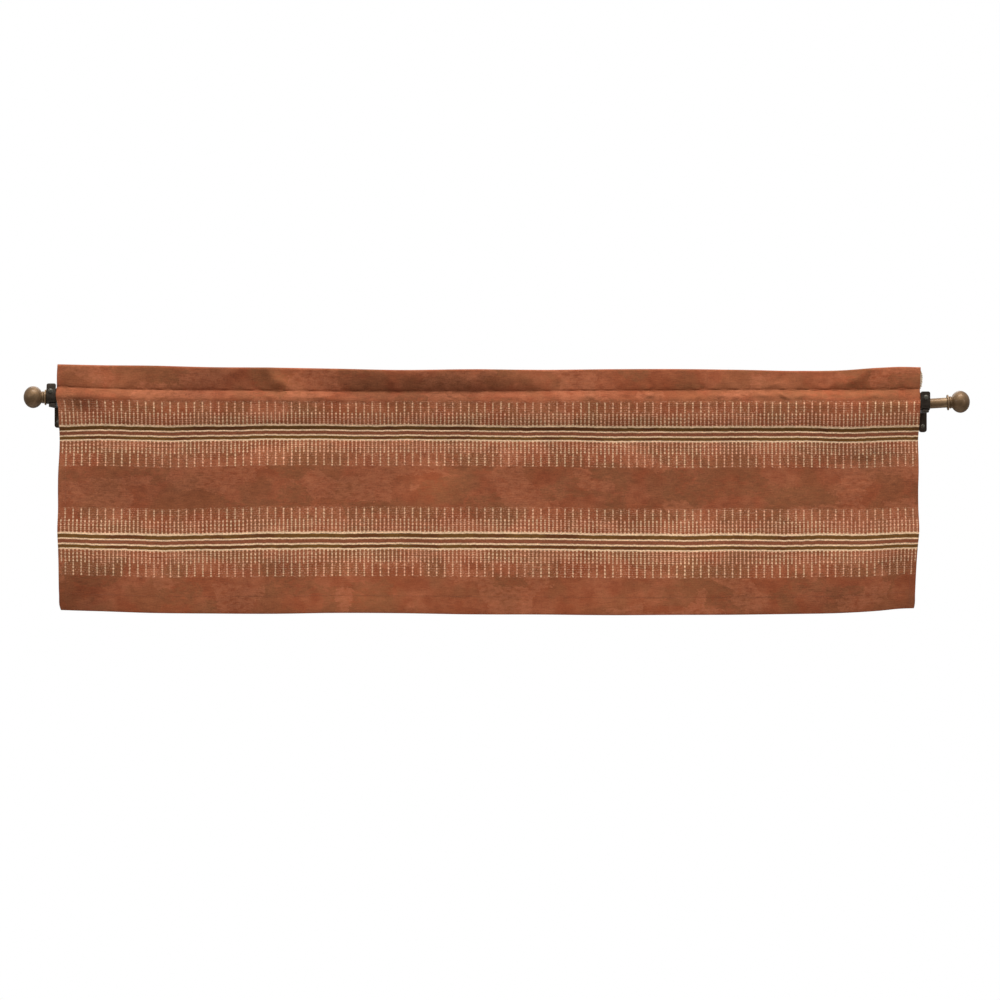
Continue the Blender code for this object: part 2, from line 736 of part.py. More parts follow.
def flat_stations():
    """Stations across the cloth: its side hems, the heading's lean and creases, and between."""
    half = CLOTH_WIDTH / 2
    places = [-half, -half + SIDE_HEM, -half + SIDE_HEM + HEM_STEP]
    places += [-place for place in reversed(places)]
    wanted = []
    for fold in named_rows(HEADING_FOLDS, FOLD_COLUMNS):
        centre = (fold["at_seam"] + fold["at_top"]) / 2 * MM
        reach = fold["half_width"] * MM
        wanted += [centre, centre - reach, centre + reach]
    wanted += list(column(HEADING_LEAN, LEAN_COLUMNS, "across") * MM)
    for place in wanted:
        if min(abs(place - other) for other in places) > SHORTEST_GAP and abs(place) < half:
            places.append(place)
    places.sort()
    filled = [places[0]]
    for place in places[1:]:
        count = math.ceil((place - filled[-1]) / LONGEST_GAP)
        filled += list(np.linspace(filled[-1], place, count + 1)[1:])
    return np.array(filled)


def face_grid():
    """Stations across and down the face cloth, closest where it goes over the rod."""
    fold = row_down("hem") - BOTTOM_HEM
    down = stations((
        (0, 0),
        (LINING_TOP, 1),
        (row_down("heading_seam"), 3),
        (ROD_ZONE_TOP, 1),
        (ROD_ZONE_FOOT, ROD_ZONE_ROWS),
        (row_down("pocket_seam"), 2),
        (fold - HEM_STEP, 6),
        (fold, 1),
        (row_down("hem"), 2),
    ))
    return np.meshgrid(flat_stations(), down)


def lining_grid():
    """Stations across and down the lining, whose right edge stands out at the heading."""
    down = stations((
        (LINING_TOP, 0),
        (row_down("heading_seam"), 3),
        (ROD_ZONE_TOP, 1),
        (ROD_ZONE_FOOT, ROD_ZONE_ROWS),
        (row_down("pocket_seam"), 2),
        (LINING_FOOT, 1),
    ))
    flat, down = np.meshgrid(flat_stations(), down)
    flat[:, 0] = -CLOTH_WIDTH / 2 + LINING_LEFT_IN
    flat[:, -1] += curve(LINING_EDGE, LINING_COLUMNS, "down", "right_out", down[:, -1])
    return flat, down


def lining_thickness(flat, _):
    """Even thickness of the lining."""
    return np.full_like(flat, LINING_THICKNESS)


def main():
    """Build every piece of the valance, its rod and its brackets."""
    for old in list(bpy.data.objects):
        bpy.data.objects.remove(old)
    sheet("valance_face", "face_cloth", face_point, face_thickness, *face_grid())
    sheet("pocket_lining", "cream_lining", lining_point, lining_thickness, *lining_grid())
    rod()
    for side in ("left", "right"):
        finial(side)
    for row in named_rows(BRACKETS, BRACKET_COLUMNS):
        bracket(row)
        screws(row)


main()
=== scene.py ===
import math

import bmesh
import bpy
import numpy as np
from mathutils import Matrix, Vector


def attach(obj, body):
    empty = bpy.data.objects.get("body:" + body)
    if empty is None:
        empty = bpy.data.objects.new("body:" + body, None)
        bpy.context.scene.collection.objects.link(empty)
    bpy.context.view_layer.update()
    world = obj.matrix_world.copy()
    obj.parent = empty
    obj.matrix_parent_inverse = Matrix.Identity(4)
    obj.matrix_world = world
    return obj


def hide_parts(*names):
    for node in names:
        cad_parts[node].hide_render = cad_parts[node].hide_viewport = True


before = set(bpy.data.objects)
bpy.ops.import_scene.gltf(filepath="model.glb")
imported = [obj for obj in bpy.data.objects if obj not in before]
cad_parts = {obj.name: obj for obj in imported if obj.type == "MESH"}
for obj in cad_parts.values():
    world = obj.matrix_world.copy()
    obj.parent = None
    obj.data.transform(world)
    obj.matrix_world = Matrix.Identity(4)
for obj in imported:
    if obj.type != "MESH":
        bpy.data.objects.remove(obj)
MM = 0.001
X, Y, Z = range(3)
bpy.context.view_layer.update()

# %% [markdown]
# # A window valance on its rod
# The object is a straight valance: one printed cloth with a standing heading, a rod pocket
# under it and a narrow hem, lined behind the heading and the pocket. It hangs on a bronze
# rod with ball finials, which lies in two black cup brackets.
#
# The CAD model gives the true size and the main folds. This lesson keeps both and adds what
# a solid can't carry: thin cloth with rolled edges, puckers and stitches, a printed stripe,
# turned metal and paint. Every piece is made in mesh code and every finish in shader nodes.
#
# ## The camera
# The valance was looked at square on, from far away and at its own middle height, so its
# lines stay parallel. A long lens six metres off does the same. A short lens close by would
# show the undersides of the brackets and bend the stripes.

# %% Camera
ROD_OUT = 72 * MM
VIEW_WIDTH = 1589 * MM
VIEW_DISTANCE = 6.0
VIEW_ACROSS = 17.2 * MM
VIEW_HEIGHT = -158.9 * MM


def placed(name, data):
    """An object with the given data, put in the scene."""
    made = bpy.data.objects.new(name, data)
    bpy.context.collection.objects.link(made)
    return made


lens = bpy.data.cameras.new("front_view")
lens.sensor_width = 36
lens.lens = lens.sensor_width * VIEW_DISTANCE / VIEW_WIDTH
lens.clip_end = 60
camera = placed("front_view", lens)
camera.location = (VIEW_ACROSS, -ROD_OUT - VIEW_DISTANCE, VIEW_HEIGHT)
camera.rotation_euler = (math.pi / 2, 0, 0)
bpy.context.scene.camera = camera
print("lens", round(lens.lens, 1), "mm")

# %% [markdown]
# ## Wiring nodes in short lines
# A shader is a graph. Written out in full, each node takes four or five lines, and the
# drawing of the pattern drowns in them. A small class with one method for each kind of step
# keeps a stripe readable as the sum it is.

# %% Node helpers
class Wiring:
    """Adds nodes to one tree. A value may be a number, a colour or another node's output."""

    def __init__(self, tree):
        self.tree = tree

    def node(self, kind, **settings):
        made = self.tree.nodes.new(kind)
        for name, value in settings.items():
            setattr(made, name, value)
        return made

    def feed(self, socket, value):
        if isinstance(value, bpy.types.NodeSocket):
            self.tree.links.new(value, socket)
        else:
            socket.default_value = value

    def feed_all(self, node, values):
        """Feeds a node's inputs by their names."""
        for name, value in values.items():
            self.feed(node.inputs[name], value)

    def parts(self, vector):
        """The X, Y and Z of a vector."""
        made = self.node("ShaderNodeSeparateXYZ")
        self.feed(made.inputs[0], vector)
        return made.outputs

    def calc(self, operation, *values):
        made = self.node("ShaderNodeMath", operation=operation)
        for socket, value in zip(made.inputs, values):
            self.feed(socket, value)
        return made.outputs[0]

    def chain(self, operation, first, *others):
        for other in others:
            first = self.calc(operation, first, other)
        return first

    def plus(self, *values):
        return self.chain("ADD", *values)

    def times(self, *values):
        return self.chain("MULTIPLY", *values)

    def most(self, *values):
        return self.chain("MAXIMUM", *values)

    def less(self, value, other):
        return self.calc("SUBTRACT", value, other)

    def away(self, value, place):
        """How far a value is from a place, on either side."""
        return self.calc("ABSOLUTE", self.less(value, place))

    def span(self, value, low, high):
        """A value from 0 to 1 spread from low to high."""
        return self.calc("MULTIPLY_ADD", value, high - low, low)

    def step(self, value, low, high):
        """Soft step from 0 at low to 1 at high; low may be the greater."""
        made = self.node("ShaderNodeMapRange", interpolation_type="SMOOTHSTEP")
        self.feed_all(made, {"Value": value, "From Min": low, "From Max": high})
        return made.outputs[0]

    def within(self, distance, limit, soft):
        """1 where a distance is under its limit and 0 beyond, with an edge that is soft."""
        return self.step(self.less(distance, limit), soft, -soft)

    def mix(self, share, first, second):
        made = self.node("ShaderNodeMix", data_type="RGBA")
        for socket, value in zip((0, 6, 7), (share, first, second)):
            self.feed(made.inputs[socket], value)
        return made.outputs[2]

    def noise(self, place, wide, tall, detail=1, seed=0):
        """Soft noise over a place across and down, in lumps that are so wide and so tall."""
        spot = self.node("ShaderNodeCombineXYZ")
        self.feed(spot.inputs[0], self.calc("DIVIDE", place[0], wide))
        self.feed(spot.inputs[1], self.calc("DIVIDE", place[1], tall))
        self.feed(spot.inputs[2], seed)
        made = self.node("ShaderNodeTexNoise")
        self.feed_all(made, {"Scale": 1, "Detail": detail, "Vector": spot.outputs[0]})
        return made.outputs[0]


def shader_group(name, inputs, outputs):
    """A node group with float inputs and outputs, its wiring and the sockets inside it."""
    tree = bpy.data.node_groups.new(name, "ShaderNodeTree")
    for sockets, in_out in ((inputs, "INPUT"), (outputs, "OUTPUT")):
        for socket in sockets:
            tree.interface.new_socket(name=socket, in_out=in_out, socket_type="NodeSocketFloat")
    wiring = Wiring(tree)
    return tree, wiring, wiring.node("NodeGroupInput").outputs, wiring.node("NodeGroupOutput")


def use_group(wiring, tree, **values):
    """Places a group in a material and returns its outputs."""
    made = wiring.node("ShaderNodeGroup", node_tree=tree)
    wiring.feed_all(made, values)
    return made.outputs


def finish_of(name, roughness, metallic=0):
    """A new material, its wiring and its Principled shader."""
    made = bpy.data.materials.new(name)
    made.use_nodes = True
    wiring = Wiring(made.node_tree)
    surface = made.node_tree.nodes["Principled BSDF"]
    wiring.feed_all(surface, {"Roughness": roughness, "Metallic": metallic})
    return made, wiring, surface


def bumped(wiring, surface, height, distance):
    """Lets a height raise the surface by a distance in metres."""
    raised = wiring.node("ShaderNodeBump")
    wiring.feed_all(raised, {"Strength": 1, "Distance": distance, "Height": height})
    wiring.feed(surface.inputs["Normal"], raised.outputs[0])


def dye(red, green, blue):
    """A colour given as seen on a screen, 0 to 255, turned into light amounts."""
    parts = [value / 255 for value in (red, green, blue)]
    lit = [part / 12.92 if part <= 0.04045 else ((part + 0.055) / 1.055) ** 2.4 for part in parts]
    return (*lit, 1.0)


print("helpers ready")

# %% [markdown]
# ## The studio
# Cloth shows its folds by how they turn towards or away from the light. Here the sloping
# front of the pocket is nearly twice as bright as the hanging cloth, and the heading, which
# leans forward, is darker. That asks for one big soft lamp high in front and only a little
# light from all round. Two small side lamps put the bright specks on the outer sides of the
# balls, and a lamp behind keeps the back readable.
#
# The world is white where the camera looks at it and dim, darker below, for everything else.
# A Light Path node tells the two apart.

# %% Lamps and world
LAMPS = (
    # name, place, aim, width, height, power
    ("key", (0.3, -1.6, 4.4), (0.02, -0.07, -0.15), 4.6, 1.8, 305),
    ("left_side", (-2.3, -1.5, 0.45), (-0.72, -0.07, 0.0), 0.35, 0.35, 5.0),
    ("right_side", (2.3, -1.5, 0.4), (0.74, -0.07, 0.0), 0.35, 0.35, 5.0),
    ("back", (-0.3, 1.9, 1.7), (0.0, -0.07, -0.15), 2.6, 1.4, 40),
)
LIGHT_ABOVE = 0.85
LIGHT_BELOW = 0.28

scene = bpy.context.scene
scene.view_settings.view_transform = "Standard"
for name, place, aim, width, height, power in LAMPS:
    lamp = bpy.data.lights.new(name, "AREA")
    lamp.shape = "RECTANGLE"
    lamp.size = width
    lamp.size_y = height
    lamp.energy = power
    stand = placed(name, lamp)
    stand.location = place
    stand.rotation_euler = (Vector(aim) - Vector(place)).to_track_quat("-Z", "Y").to_euler()

world = bpy.data.worlds.new("studio")
scene.world = world
world.use_nodes = True
sky = Wiring(world.node_tree)
sky.tree.nodes.clear()
upward = sky.parts(sky.node("ShaderNodeTexCoord").outputs["Generated"])["Z"]
strength = sky.node("ShaderNodeMapRange")
sky.feed_all(strength, {"Value": upward, "From Min": -0.5, "From Max": 0.5,
                        "To Min": LIGHT_BELOW, "To Max": LIGHT_ABOVE})
dim = sky.node("ShaderNodeBackground")
sky.feed(dim.inputs["Strength"], strength.outputs["Result"])
white = sky.node("ShaderNodeBackground")
sky.feed(white.inputs["Color"], (1, 1, 1, 1))
chosen = sky.node("ShaderNodeMixShader")
seen = sky.node("ShaderNodeLightPath").outputs["Is Camera Ray"]
for socket, value in zip(chosen.inputs, (seen, dim.outputs[0], white.outputs[0])):
    sky.feed(socket, value)
sky.feed(sky.node("ShaderNodeOutputWorld").inputs["Surface"], chosen.outputs[0])
print(len(LAMPS), "lamps")

# %% [markdown]
# ## Woven cloth
# All the cloth here is a plain weave with uneven yarn: each thread goes over one and under
# the next, and some threads have thick places that show as short streaks along the cloth.
# Both the printed cloth and the lining need that, at different pitches, so it is one group.
# Sine waves make the threads, because they stay even over any length, and stretched noise
# makes the thick places. Inputs are millimetres on the cloth as it was cut.

# %% Group: woven threads
weave, w, given, result = shader_group(
    "woven_threads", ("Across", "Down", "Pitch"), ("Height", "Streak", "Fleck", "Slub"))
place = given["Across"], given["Down"]
waves = [w.calc("SINE", w.times(w.calc("DIVIDE", way, given["Pitch"]), math.pi)) for way in place]
warp, weft = (w.calc("ABSOLUTE", wave) for wave in waves)
warp_on_top = w.times(warp, w.span(weft, 0.6, 1.0))
weft_on_top = w.times(weft, w.span(warp, 0.6, 1.0))
which = w.step(w.times(*waves), -0.05, 0.05)
threads = w.plus(w.times(warp_on_top, which), w.times(weft_on_top, w.less(1.0, which)))
streak = w.noise(place, 11, 1.5, detail=2)
slub = w.times(w.step(streak, 0.56, 0.68), w.step(w.noise(place, 70, 40, seed=3), 0.42, 0.58))
w.feed_all(result, {
    "Height": w.plus(threads, w.times(slub, 0.9)),
    "Streak": streak,
    "Fleck": w.noise(place, 2.6, 1.9, detail=2, seed=4),
    "Slub": slub,
})
print("group", weave.name)

# %% [markdown]
# Dyed cloth is never one colour. This print imitates hand dyeing: soft clouds from rust to a
# duller olive brown, and over them blocks with ragged edges, as if the dye had been laid on
# in patches. Noise makes the clouds. Cells measured with the greater of the two distances,
# across or down, are blocks, and noise on their coordinates frays their edges.

# %% Group: dye clouds
clouds, w, given, result = shader_group(
    "dye_clouds", ("Across", "Down", "Size"), ("Broad", "Small", "Dull", "Block", "Wisp"))
size = given["Size"]
place = given["Across"], given["Down"]
fray = w.span(w.noise(place, 5, 3, detail=3, seed=51), -8.0, 8.0)
drift = w.span(w.noise(place, 60, 60, seed=53), -30.0, 30.0)
spot = w.node("ShaderNodeCombineXYZ")
w.feed(spot.inputs[0], w.calc("DIVIDE", w.plus(given["Across"], fray, drift), size))
w.feed(spot.inputs[1], w.calc("DIVIDE", w.plus(given["Down"], fray), w.times(size, 0.6)))
cells = w.node("ShaderNodeTexVoronoi", distance="CHEBYCHEV")
w.feed_all(cells, {"Scale": 1, "Vector": spot.outputs[0]})
chance = w.node("ShaderNodeSeparateColor")
w.feed(chance.inputs[0], cells.outputs["Color"])
small = w.times(size, 0.34)
w.feed_all(result, {
    "Broad": w.step(w.noise(place, w.times(size, 1.3), size, detail=3, seed=11), 0.34, 0.66),
    "Small": w.step(w.noise(place, small, small, detail=3, seed=23), 0.32, 0.68),
    "Dull": w.step(w.noise(place, size, size, detail=3, seed=37), 0.46, 0.6),
    "Block": chance.outputs["Red"],
    "Wisp": w.noise(place, 17, 7, detail=4, seed=43),
})
print("group", clouds.name)

# %% [markdown]
# ## The printed stripe
# Two alike bands cross the cloth. Each has four cream lines with olive, brick and olive
# between them, and a comb of ticks on both sides: long ones, and short ones midway. The
# ticks are rows of small dashes, as if each were sewn. The sizes are millimetres on the cut
# cloth, where both bands run straight; they bend on the object because the cloth does.

# %% The band in numbers
UPPER_BAND = 106.1
BAND_TO_BAND = 175.4
BETWEEN_BANDS = 193.6
CREAM_LINES = (
    # middle, width
    (-12.3, 3.0),
    (-3.5, 2.3),
    (5.0, 2.55),
    (12.7, 2.3),
)
BRICK_PLACE = 0.5
BRICK_HALF = 4.3
LINES_END = 12.6
LONG_PITCH = 12.74
SHORT_PITCH = LONG_PITCH / 2
TICK_HALF = 1.15
SHORT_END = 35.0
LONG_END_ABOVE = 53.0
LONG_END_BELOW = 55.4
DASH_START = 14.8
DASH_PITCH = 5.75
FINE_PITCH = 3.55
FACE_THREADS = 0.62
FACE_CLOUDS = 62.0
# how far from its edge a mark fades
LINE_SOFT = 0.5
FIELD_SOFT = 0.3
TICK_SOFT = 0.45
TICK_END_SOFT = 0.5
BAND_SOFT = 1.0

RUST = dye(143, 77, 47)
RUST_RED = dye(131, 63, 36)
RUST_DULL = dye(128, 78, 48)
RUST_PALE = dye(165, 98, 67)
CREAM = dye(230, 192, 154)
OLIVE = dye(106, 70, 30)
UMBER = dye(96, 54, 24)
BRICK = dye(132, 75, 50)
TICK_CREAM = dye(226, 186, 148)
TICK_PINK = dye(226, 170, 136)
print("band is", LONG_END_ABOVE + LONG_END_BELOW, "mm wide")

# %% [markdown]
# The pattern could be an image, but a few distances draw it at any size: how far a point is
# from the middle of its band, and how far from the nearest tick. A soft step on a distance
# is a line. Noise added to the distances makes the edges waver as they do in cloth, and two
# cosines at different pitches break each tick into dashes.


# %% Ticks of a band
def to_nearest(w, across, pitch):
    """Distance across from the nearest of many lines that stand a pitch apart."""
    share = w.calc("FRACT", w.plus(w.calc("DIVIDE", across, pitch), 0.5))
    return w.times(w.less(share, 0.5), pitch)


def tick_marks(w, place, from_band, distance, ragged, long_end):
    """Where the comb of ticks is printed, and the fine dashes that it is made of."""
    shaky = w.span(w.noise(place, 2.2, 2.6, seed=7), -0.9, 0.9)
    to_long, to_any = (w.calc("ABSOLUTE", w.plus(shaky, to_nearest(w, place[0], pitch)))
                       for pitch in (LONG_PITCH, SHORT_PITCH))
    own_shift = w.span(w.noise((place[0], from_band), 5, 30, detail=0, seed=9), -1.4, 1.4)
    from_lines = w.less(distance, DASH_START)
    coarse, fine = (
        w.span(w.calc("COSINE", w.plus(own_shift, w.times(from_lines, 2 * math.pi / pitch))), 0.5, 1.0)
        for pitch in (DASH_PITCH, FINE_PITCH))
    where_fine = w.span(w.step(w.noise(place, 55, 24, seed=67), 0.4, 0.6), 0.1, 0.65)
    dash = w.plus(w.times(fine, where_fine), w.times(coarse, w.less(1.0, where_fine)))
    half = w.times(w.span(dash, 0.5, 1.1), TICK_HALF)
    long_tick, short_tick = (
        w.times(w.within(to_tick, half, TICK_SOFT), w.within(distance, end, TICK_END_SOFT))
        for to_tick, end in ((to_long, long_end), (to_any, w.plus(ragged, SHORT_END))))
    worn = w.calc("MINIMUM", w.span(w.noise(place, 3.4, 4, detail=2, seed=17), 0.2, 1.7), 1.0)
    return w.times(w.most(long_tick, short_tick), w.span(dash, 0.3, 1.06), worn), fine


print("ticks stand", SHORT_PITCH, "mm apart")

# %% [markdown]
# Between the ticks the ground shows. It takes its clouds and blocks from the dye group, and
# inside a band it is a little lighter and more mottled. How light a point is comes last, as
# one factor, because the broad tone, which is uneven dye and painted light and shade, the
# clouds and the yarn change the print and its ground alike.


# %% Ground and shade of the print
def ground_dye(w, place, cloud, in_band):
    """The rust ground: clouds, and blocks with ragged edges that are paler or duller."""
    ground = w.mix(w.times(cloud["Broad"], 0.6), RUST, RUST_PALE)
    ground = w.mix(w.times(cloud["Small"], 0.6), ground, RUST_RED)
    ground = w.mix(w.times(cloud["Dull"], w.span(in_band, 0.5, 0.7)), ground, RUST_DULL)
    ragged = w.step(w.noise(place, 9, 5, detail=3, seed=61), 0.3, 0.6)
    ground = w.mix(w.times(w.step(cloud["Block"], 0.66, 0.7), ragged, 0.55), ground, RUST_PALE)
    return w.mix(w.times(w.step(cloud["Block"], 0.28, 0.24), ragged, 0.6), ground, RUST_DULL)


def print_shade(w, cloth, cloud, in_band):
    """How light the print is: the mesh's tone of uneven dye and painted light and shade, the clouds and
    the yarn.
    """
    # tone: uneven dye and painted light and shade, kept in each point of the mesh
    tone = w.node("ShaderNodeAttribute", attribute_name="tone")
    return w.plus(1.0, tone.outputs["Fac"],
                  w.span(cloth["Streak"], -0.35, 0.35),
                  w.span(cloud["Wisp"], -0.25, 0.25),
                  w.times(cloth["Slub"], -0.09),
                  w.times(w.less(cloth["Fleck"], 0.5), w.span(in_band, 0.7, 1.3)),
                  w.span(in_band, 0.0, 0.05))


print("ground and shade ready")

# %% [markdown]
# Now the parts are laid over each other in the order of a printer's screens: the ground,
# the ragged row at the ticks' ends, specks between them, the ticks, the dark lines and, on
# top, the cream ones. Both bands are alike, so one distance serves for the two.


# %% The whole print
def on_cut_cloth(w):
    """Millimetres across and down the cloth as it was cut."""
    place = w.parts(w.node("ShaderNodeUVMap", uv_map="cut").outputs[0])
    return w.times(place["X"], 1 / MM), w.times(place["Y"], 1 / MM)


def printed(w):
    """Adds the whole print to a material and returns its colour and its woven cloth."""
    across, down = place = on_cut_cloth(w)
    cloth = use_group(w, weave, Across=across, Down=down, Pitch=FACE_THREADS)
    cloud = use_group(w, clouds, Across=across, Down=down, Size=FACE_CLOUDS)

    waver = w.plus(w.span(w.noise(place, 9, 40, detail=2, seed=2), -1.1, 1.1),
                   w.span(w.noise(place, 75, 300, detail=0, seed=3), -1.6, 1.6))
    lower = w.calc("GREATER_THAN", down, BETWEEN_BANDS)
    from_band = w.less(w.plus(w.less(down, UPPER_BAND), waver), w.times(lower, BAND_TO_BAND))
    distance = w.calc("ABSOLUTE", from_band)
    below = w.calc("GREATER_THAN", from_band, 0.0)
    ragged = w.span(w.noise(place, 6, 60, detail=0, seed=13), -1.5, 1.5)
    long_end = w.plus(ragged, w.span(below, LONG_END_ABOVE, LONG_END_BELOW))
    in_band = w.within(distance, long_end, BAND_SOFT)

    ticks, fine = tick_marks(w, place, from_band, distance, ragged, long_end)
    end_row = w.times(w.step(w.away(distance, long_end), 1.1, 0.3),
                      w.step(w.noise(place, 3.2, 2, seed=19), 0.47, 0.6))
    speck = w.times(w.step(fine, 0.35, 0.75),
                    w.step(w.noise(place, 2.3, 2, seed=71), 0.46, 0.6),
                    w.step(distance, long_end, w.less(long_end, 3.0)),
                    w.span(w.step(w.noise(place, 42, 20, detail=2, seed=73), 0.4, 0.6), 0.25, 1.0))
    lines = w.most(*(w.within(w.away(from_band, middle), width / 2, LINE_SOFT)
                     for middle, width in CREAM_LINES))
    brick = w.within(w.away(from_band, BRICK_PLACE), BRICK_HALF, FIELD_SOFT)
    stripes = w.mix(brick, w.mix(cloud["Dull"], OLIVE, UMBER), BRICK)
    pink = w.step(w.noise(place, 70, 26, seed=29), 0.4, 0.6)

    colour = ground_dye(w, place, cloud, in_band)
    colour = w.mix(w.times(end_row, 0.26), colour, TICK_PINK)
    colour = w.mix(w.times(speck, 0.34), colour, TICK_PINK)
    colour = w.mix(ticks, colour, w.mix(pink, TICK_CREAM, TICK_PINK))
    colour = w.mix(w.within(distance, LINES_END, FIELD_SOFT), colour, stripes)
    colour = w.mix(w.times(lines, w.span(cloth["Fleck"], 0.8, 1.1)), colour, CREAM)
    shaded = w.node("ShaderNodeHueSaturation")
    w.feed_all(shaded, {"Color": colour, "Value": print_shade(w, cloth, cloud, in_band)})
    return shaded.outputs[0], cloth


face_print, w, surface = finish_of("printed_cloth", 0.85)
colour, cloth = printed(w)
w.feed_all(surface, {
    "Base Color": colour,
    "Roughness": w.span(cloth["Slub"], 0.88, 0.76),
    "Specular IOR Level": 0.15,
    "Sheen Weight": 0.06,
})
bumped(w, surface, cloth["Height"], 0.09 * MM)
print("material", face_print.name, len(face_print.node_tree.nodes), "nodes")

# %% [markdown]
# The wrong side of printed cloth shows the same pattern, washed out, because the dye only
# half goes through. So its material draws the same print and mixes it with undyed yarn.

# %% Wrong side of the print
UNDYED = dye(206, 176, 150)

wrong_side, w, surface = finish_of("wrong_side", 0.9)
colour, cloth = printed(w)
w.feed_all(surface, {
    "Base Color": w.mix(w.span(cloth["Fleck"], 0.42, 0.62), colour, UNDYED),
    "Specular IOR Level": 0.2,
})
bumped(w, surface, cloth["Height"], 0.1 * MM)
print("material", wrong_side.name)

# %% [markdown]
# ## Lining cloth and thread
# The lining is plain cream cloth, a little coarser than the print, with faint clouds. Thread
# is two yarns twisted together: slanting ridges along each stitch, with painted shade in the
# grooves between them. Rust thread sews the seams and hems, cream thread binds the cut edge
# of the lining.

# %% Lining and threads
LINING_THREADS = 0.8
LINING_CLOUDS = 45.0
THREAD_TWIST = 0.42 * MM

lining_cloth, w, surface = finish_of("cream_cloth", 0.9)
across, down = on_cut_cloth(w)
cloth = use_group(w, weave, Across=across, Down=down, Pitch=LINING_THREADS)
cloud = use_group(w, clouds, Across=across, Down=down, Size=LINING_CLOUDS)
plain = w.mix(w.times(cloud["Broad"], 0.6), dye(232, 212, 184), dye(220, 196, 163))
w.feed_all(surface, {
    "Base Color": w.mix(w.times(cloth["Slub"], 0.5), plain, dye(196, 170, 138)),
    "Roughness": w.span(cloth["Slub"], 0.92, 0.8),
    "Specular IOR Level": 0.2,
})
bumped(w, surface, cloth["Height"], 0.12 * MM)


def in_the_scene(w):
    """X, Y and Z of a point, in metres."""
    return w.parts(w.node("ShaderNodeTexCoord").outputs["Object"])


def thread_finish(name, light, groove_shade):
    """Twisted thread: its light tone on the ridges and painted shade in the grooves between them."""
    made, w, surface = finish_of(name, 0.7)
    place = in_the_scene(w)
    slant = w.plus(place["X"], place["Y"], place["Z"])
    # the twist's grooves get painted shade, its ridges the thread's light tone
    twist_and_groove_shade = w.span(w.calc("SINE", w.times(slant, 2 * math.pi / THREAD_TWIST)), 0.5, 1.0)
    w.feed(surface.inputs["Base Color"], w.mix(twist_and_groove_shade, groove_shade, light))
    bumped(w, surface, twist_and_groove_shade, 0.04 * MM)
    return made


# the second colour of each thread is painted shade for the grooves of its twist
rust_thread = thread_finish("rust_thread", dye(160, 94, 60), dye(112, 60, 36))
cream_thread = thread_finish("cream_thread", dye(238, 214, 182), dye(150, 108, 74))
print("materials", lining_cloth.name, rust_thread.name, cream_thread.name)

# %% [markdown]
# ## Metal
# Handled metal has four things in common, whatever its coat: a fine uneven grain, small
# pits, edges that are rubbed, and dust that settles on what faces up. One group gives all
# four as masks, and each finish uses them its own way. Pointiness finds the edges, because
# it follows the mesh itself, and the upward part of the normal finds the ledges.

# %% Group: worn metal
worn_metal, w, given, result = shader_group("worn_metal", ("Size",), ("Grain", "Edge", "Dust", "Pits"))
place = in_the_scene(w)
shape = w.node("ShaderNodeNewGeometry")
upward = w.parts(shape.outputs["Normal"])["Z"]
spot = w.plus(place["X"], w.times(place["Y"], 1.7)), place["Z"]
grain = w.noise(spot, given["Size"], given["Size"], detail=4)
fine = w.times(given["Size"], 0.16)
rubbed = w.plus(shape.outputs["Pointiness"], w.span(grain, -0.03, 0.03))
w.feed_all(result, {
    "Grain": grain,
    "Edge": w.step(rubbed, 0.515, 0.58),
    "Dust": w.times(w.step(upward, 0.35, 0.95), w.step(grain, 0.35, 0.62)),
    "Pits": w.noise(spot, fine, fine, detail=2, seed=5),
})
print("group", worn_metal.name)

# %% [markdown]
# The rod and its balls are antique bronze: a brown lacquer over metal, thinner where hands
# rub it. The brackets are dull black paint with an orange-peel skin. The screws are dark
# plated steel, brighter on their edges.

# %% Bronze, paint and screws
bronze, w, surface = finish_of("antique_bronze", 0.42, 0.7)
wear = use_group(w, worn_metal, Size=9 * MM)
tone = w.mix(w.step(wear["Grain"], 0.35, 0.65), dye(106, 82, 56), dye(122, 95, 66))
tone = w.mix(w.times(w.step(wear["Pits"], 0.52, 0.7), 0.5), tone, dye(86, 60, 38))
w.feed_all(surface, {
    "Base Color": w.mix(w.times(wear["Edge"], 0.5), tone, dye(170, 142, 106)),
    "Roughness": w.span(wear["Grain"], 0.48, 0.66),
    "Coat Weight": 0.16,
    "Coat Roughness": 0.16,
})
bumped(w, surface, wear["Pits"], 0.03 * MM)

black_paint, w, surface = finish_of("black_paint", 0.5)
wear = use_group(w, worn_metal, Size=6 * MM)
tone = w.mix(wear["Grain"], dye(14, 9, 5), dye(26, 18, 11))
tone = w.mix(w.times(wear["Dust"], 0.25), tone, dye(64, 60, 55))
w.feed_all(surface, {
    "Base Color": w.mix(w.times(wear["Edge"], 0.4), tone, dye(84, 79, 74)),
    "Roughness": w.span(wear["Grain"], 0.4, 0.6),
    "Specular Tint": dye(255, 232, 210),
    "Specular IOR Level": 0.4,
})
bumped(w, surface, wear["Pits"], 0.05 * MM)

screw_metal, w, surface = finish_of("screw_metal", 0.4, 0.7)
wear = use_group(w, worn_metal, Size=3 * MM)
tone = w.mix(wear["Grain"], dye(70, 67, 58), dye(98, 94, 84))
w.feed_all(surface, {
    "Base Color": w.mix(wear["Edge"], tone, dye(160, 155, 142)),
    "Roughness": w.span(wear["Grain"], 0.3, 0.5),
})
bumped(w, surface, wear["Pits"], 0.02 * MM)
print("materials", bronze.name, black_paint.name, screw_metal.name)

# %% [markdown]
# ## The floor
# A plain pale floor well under the valance shows in the views from above. It is matte with
# a faint uneven tone, so that it gives no mirror image and little light from below.

# %% Floor
FLOOR_HEIGHT = -2.2
FLOOR_HALF = (2.0, 1.5)

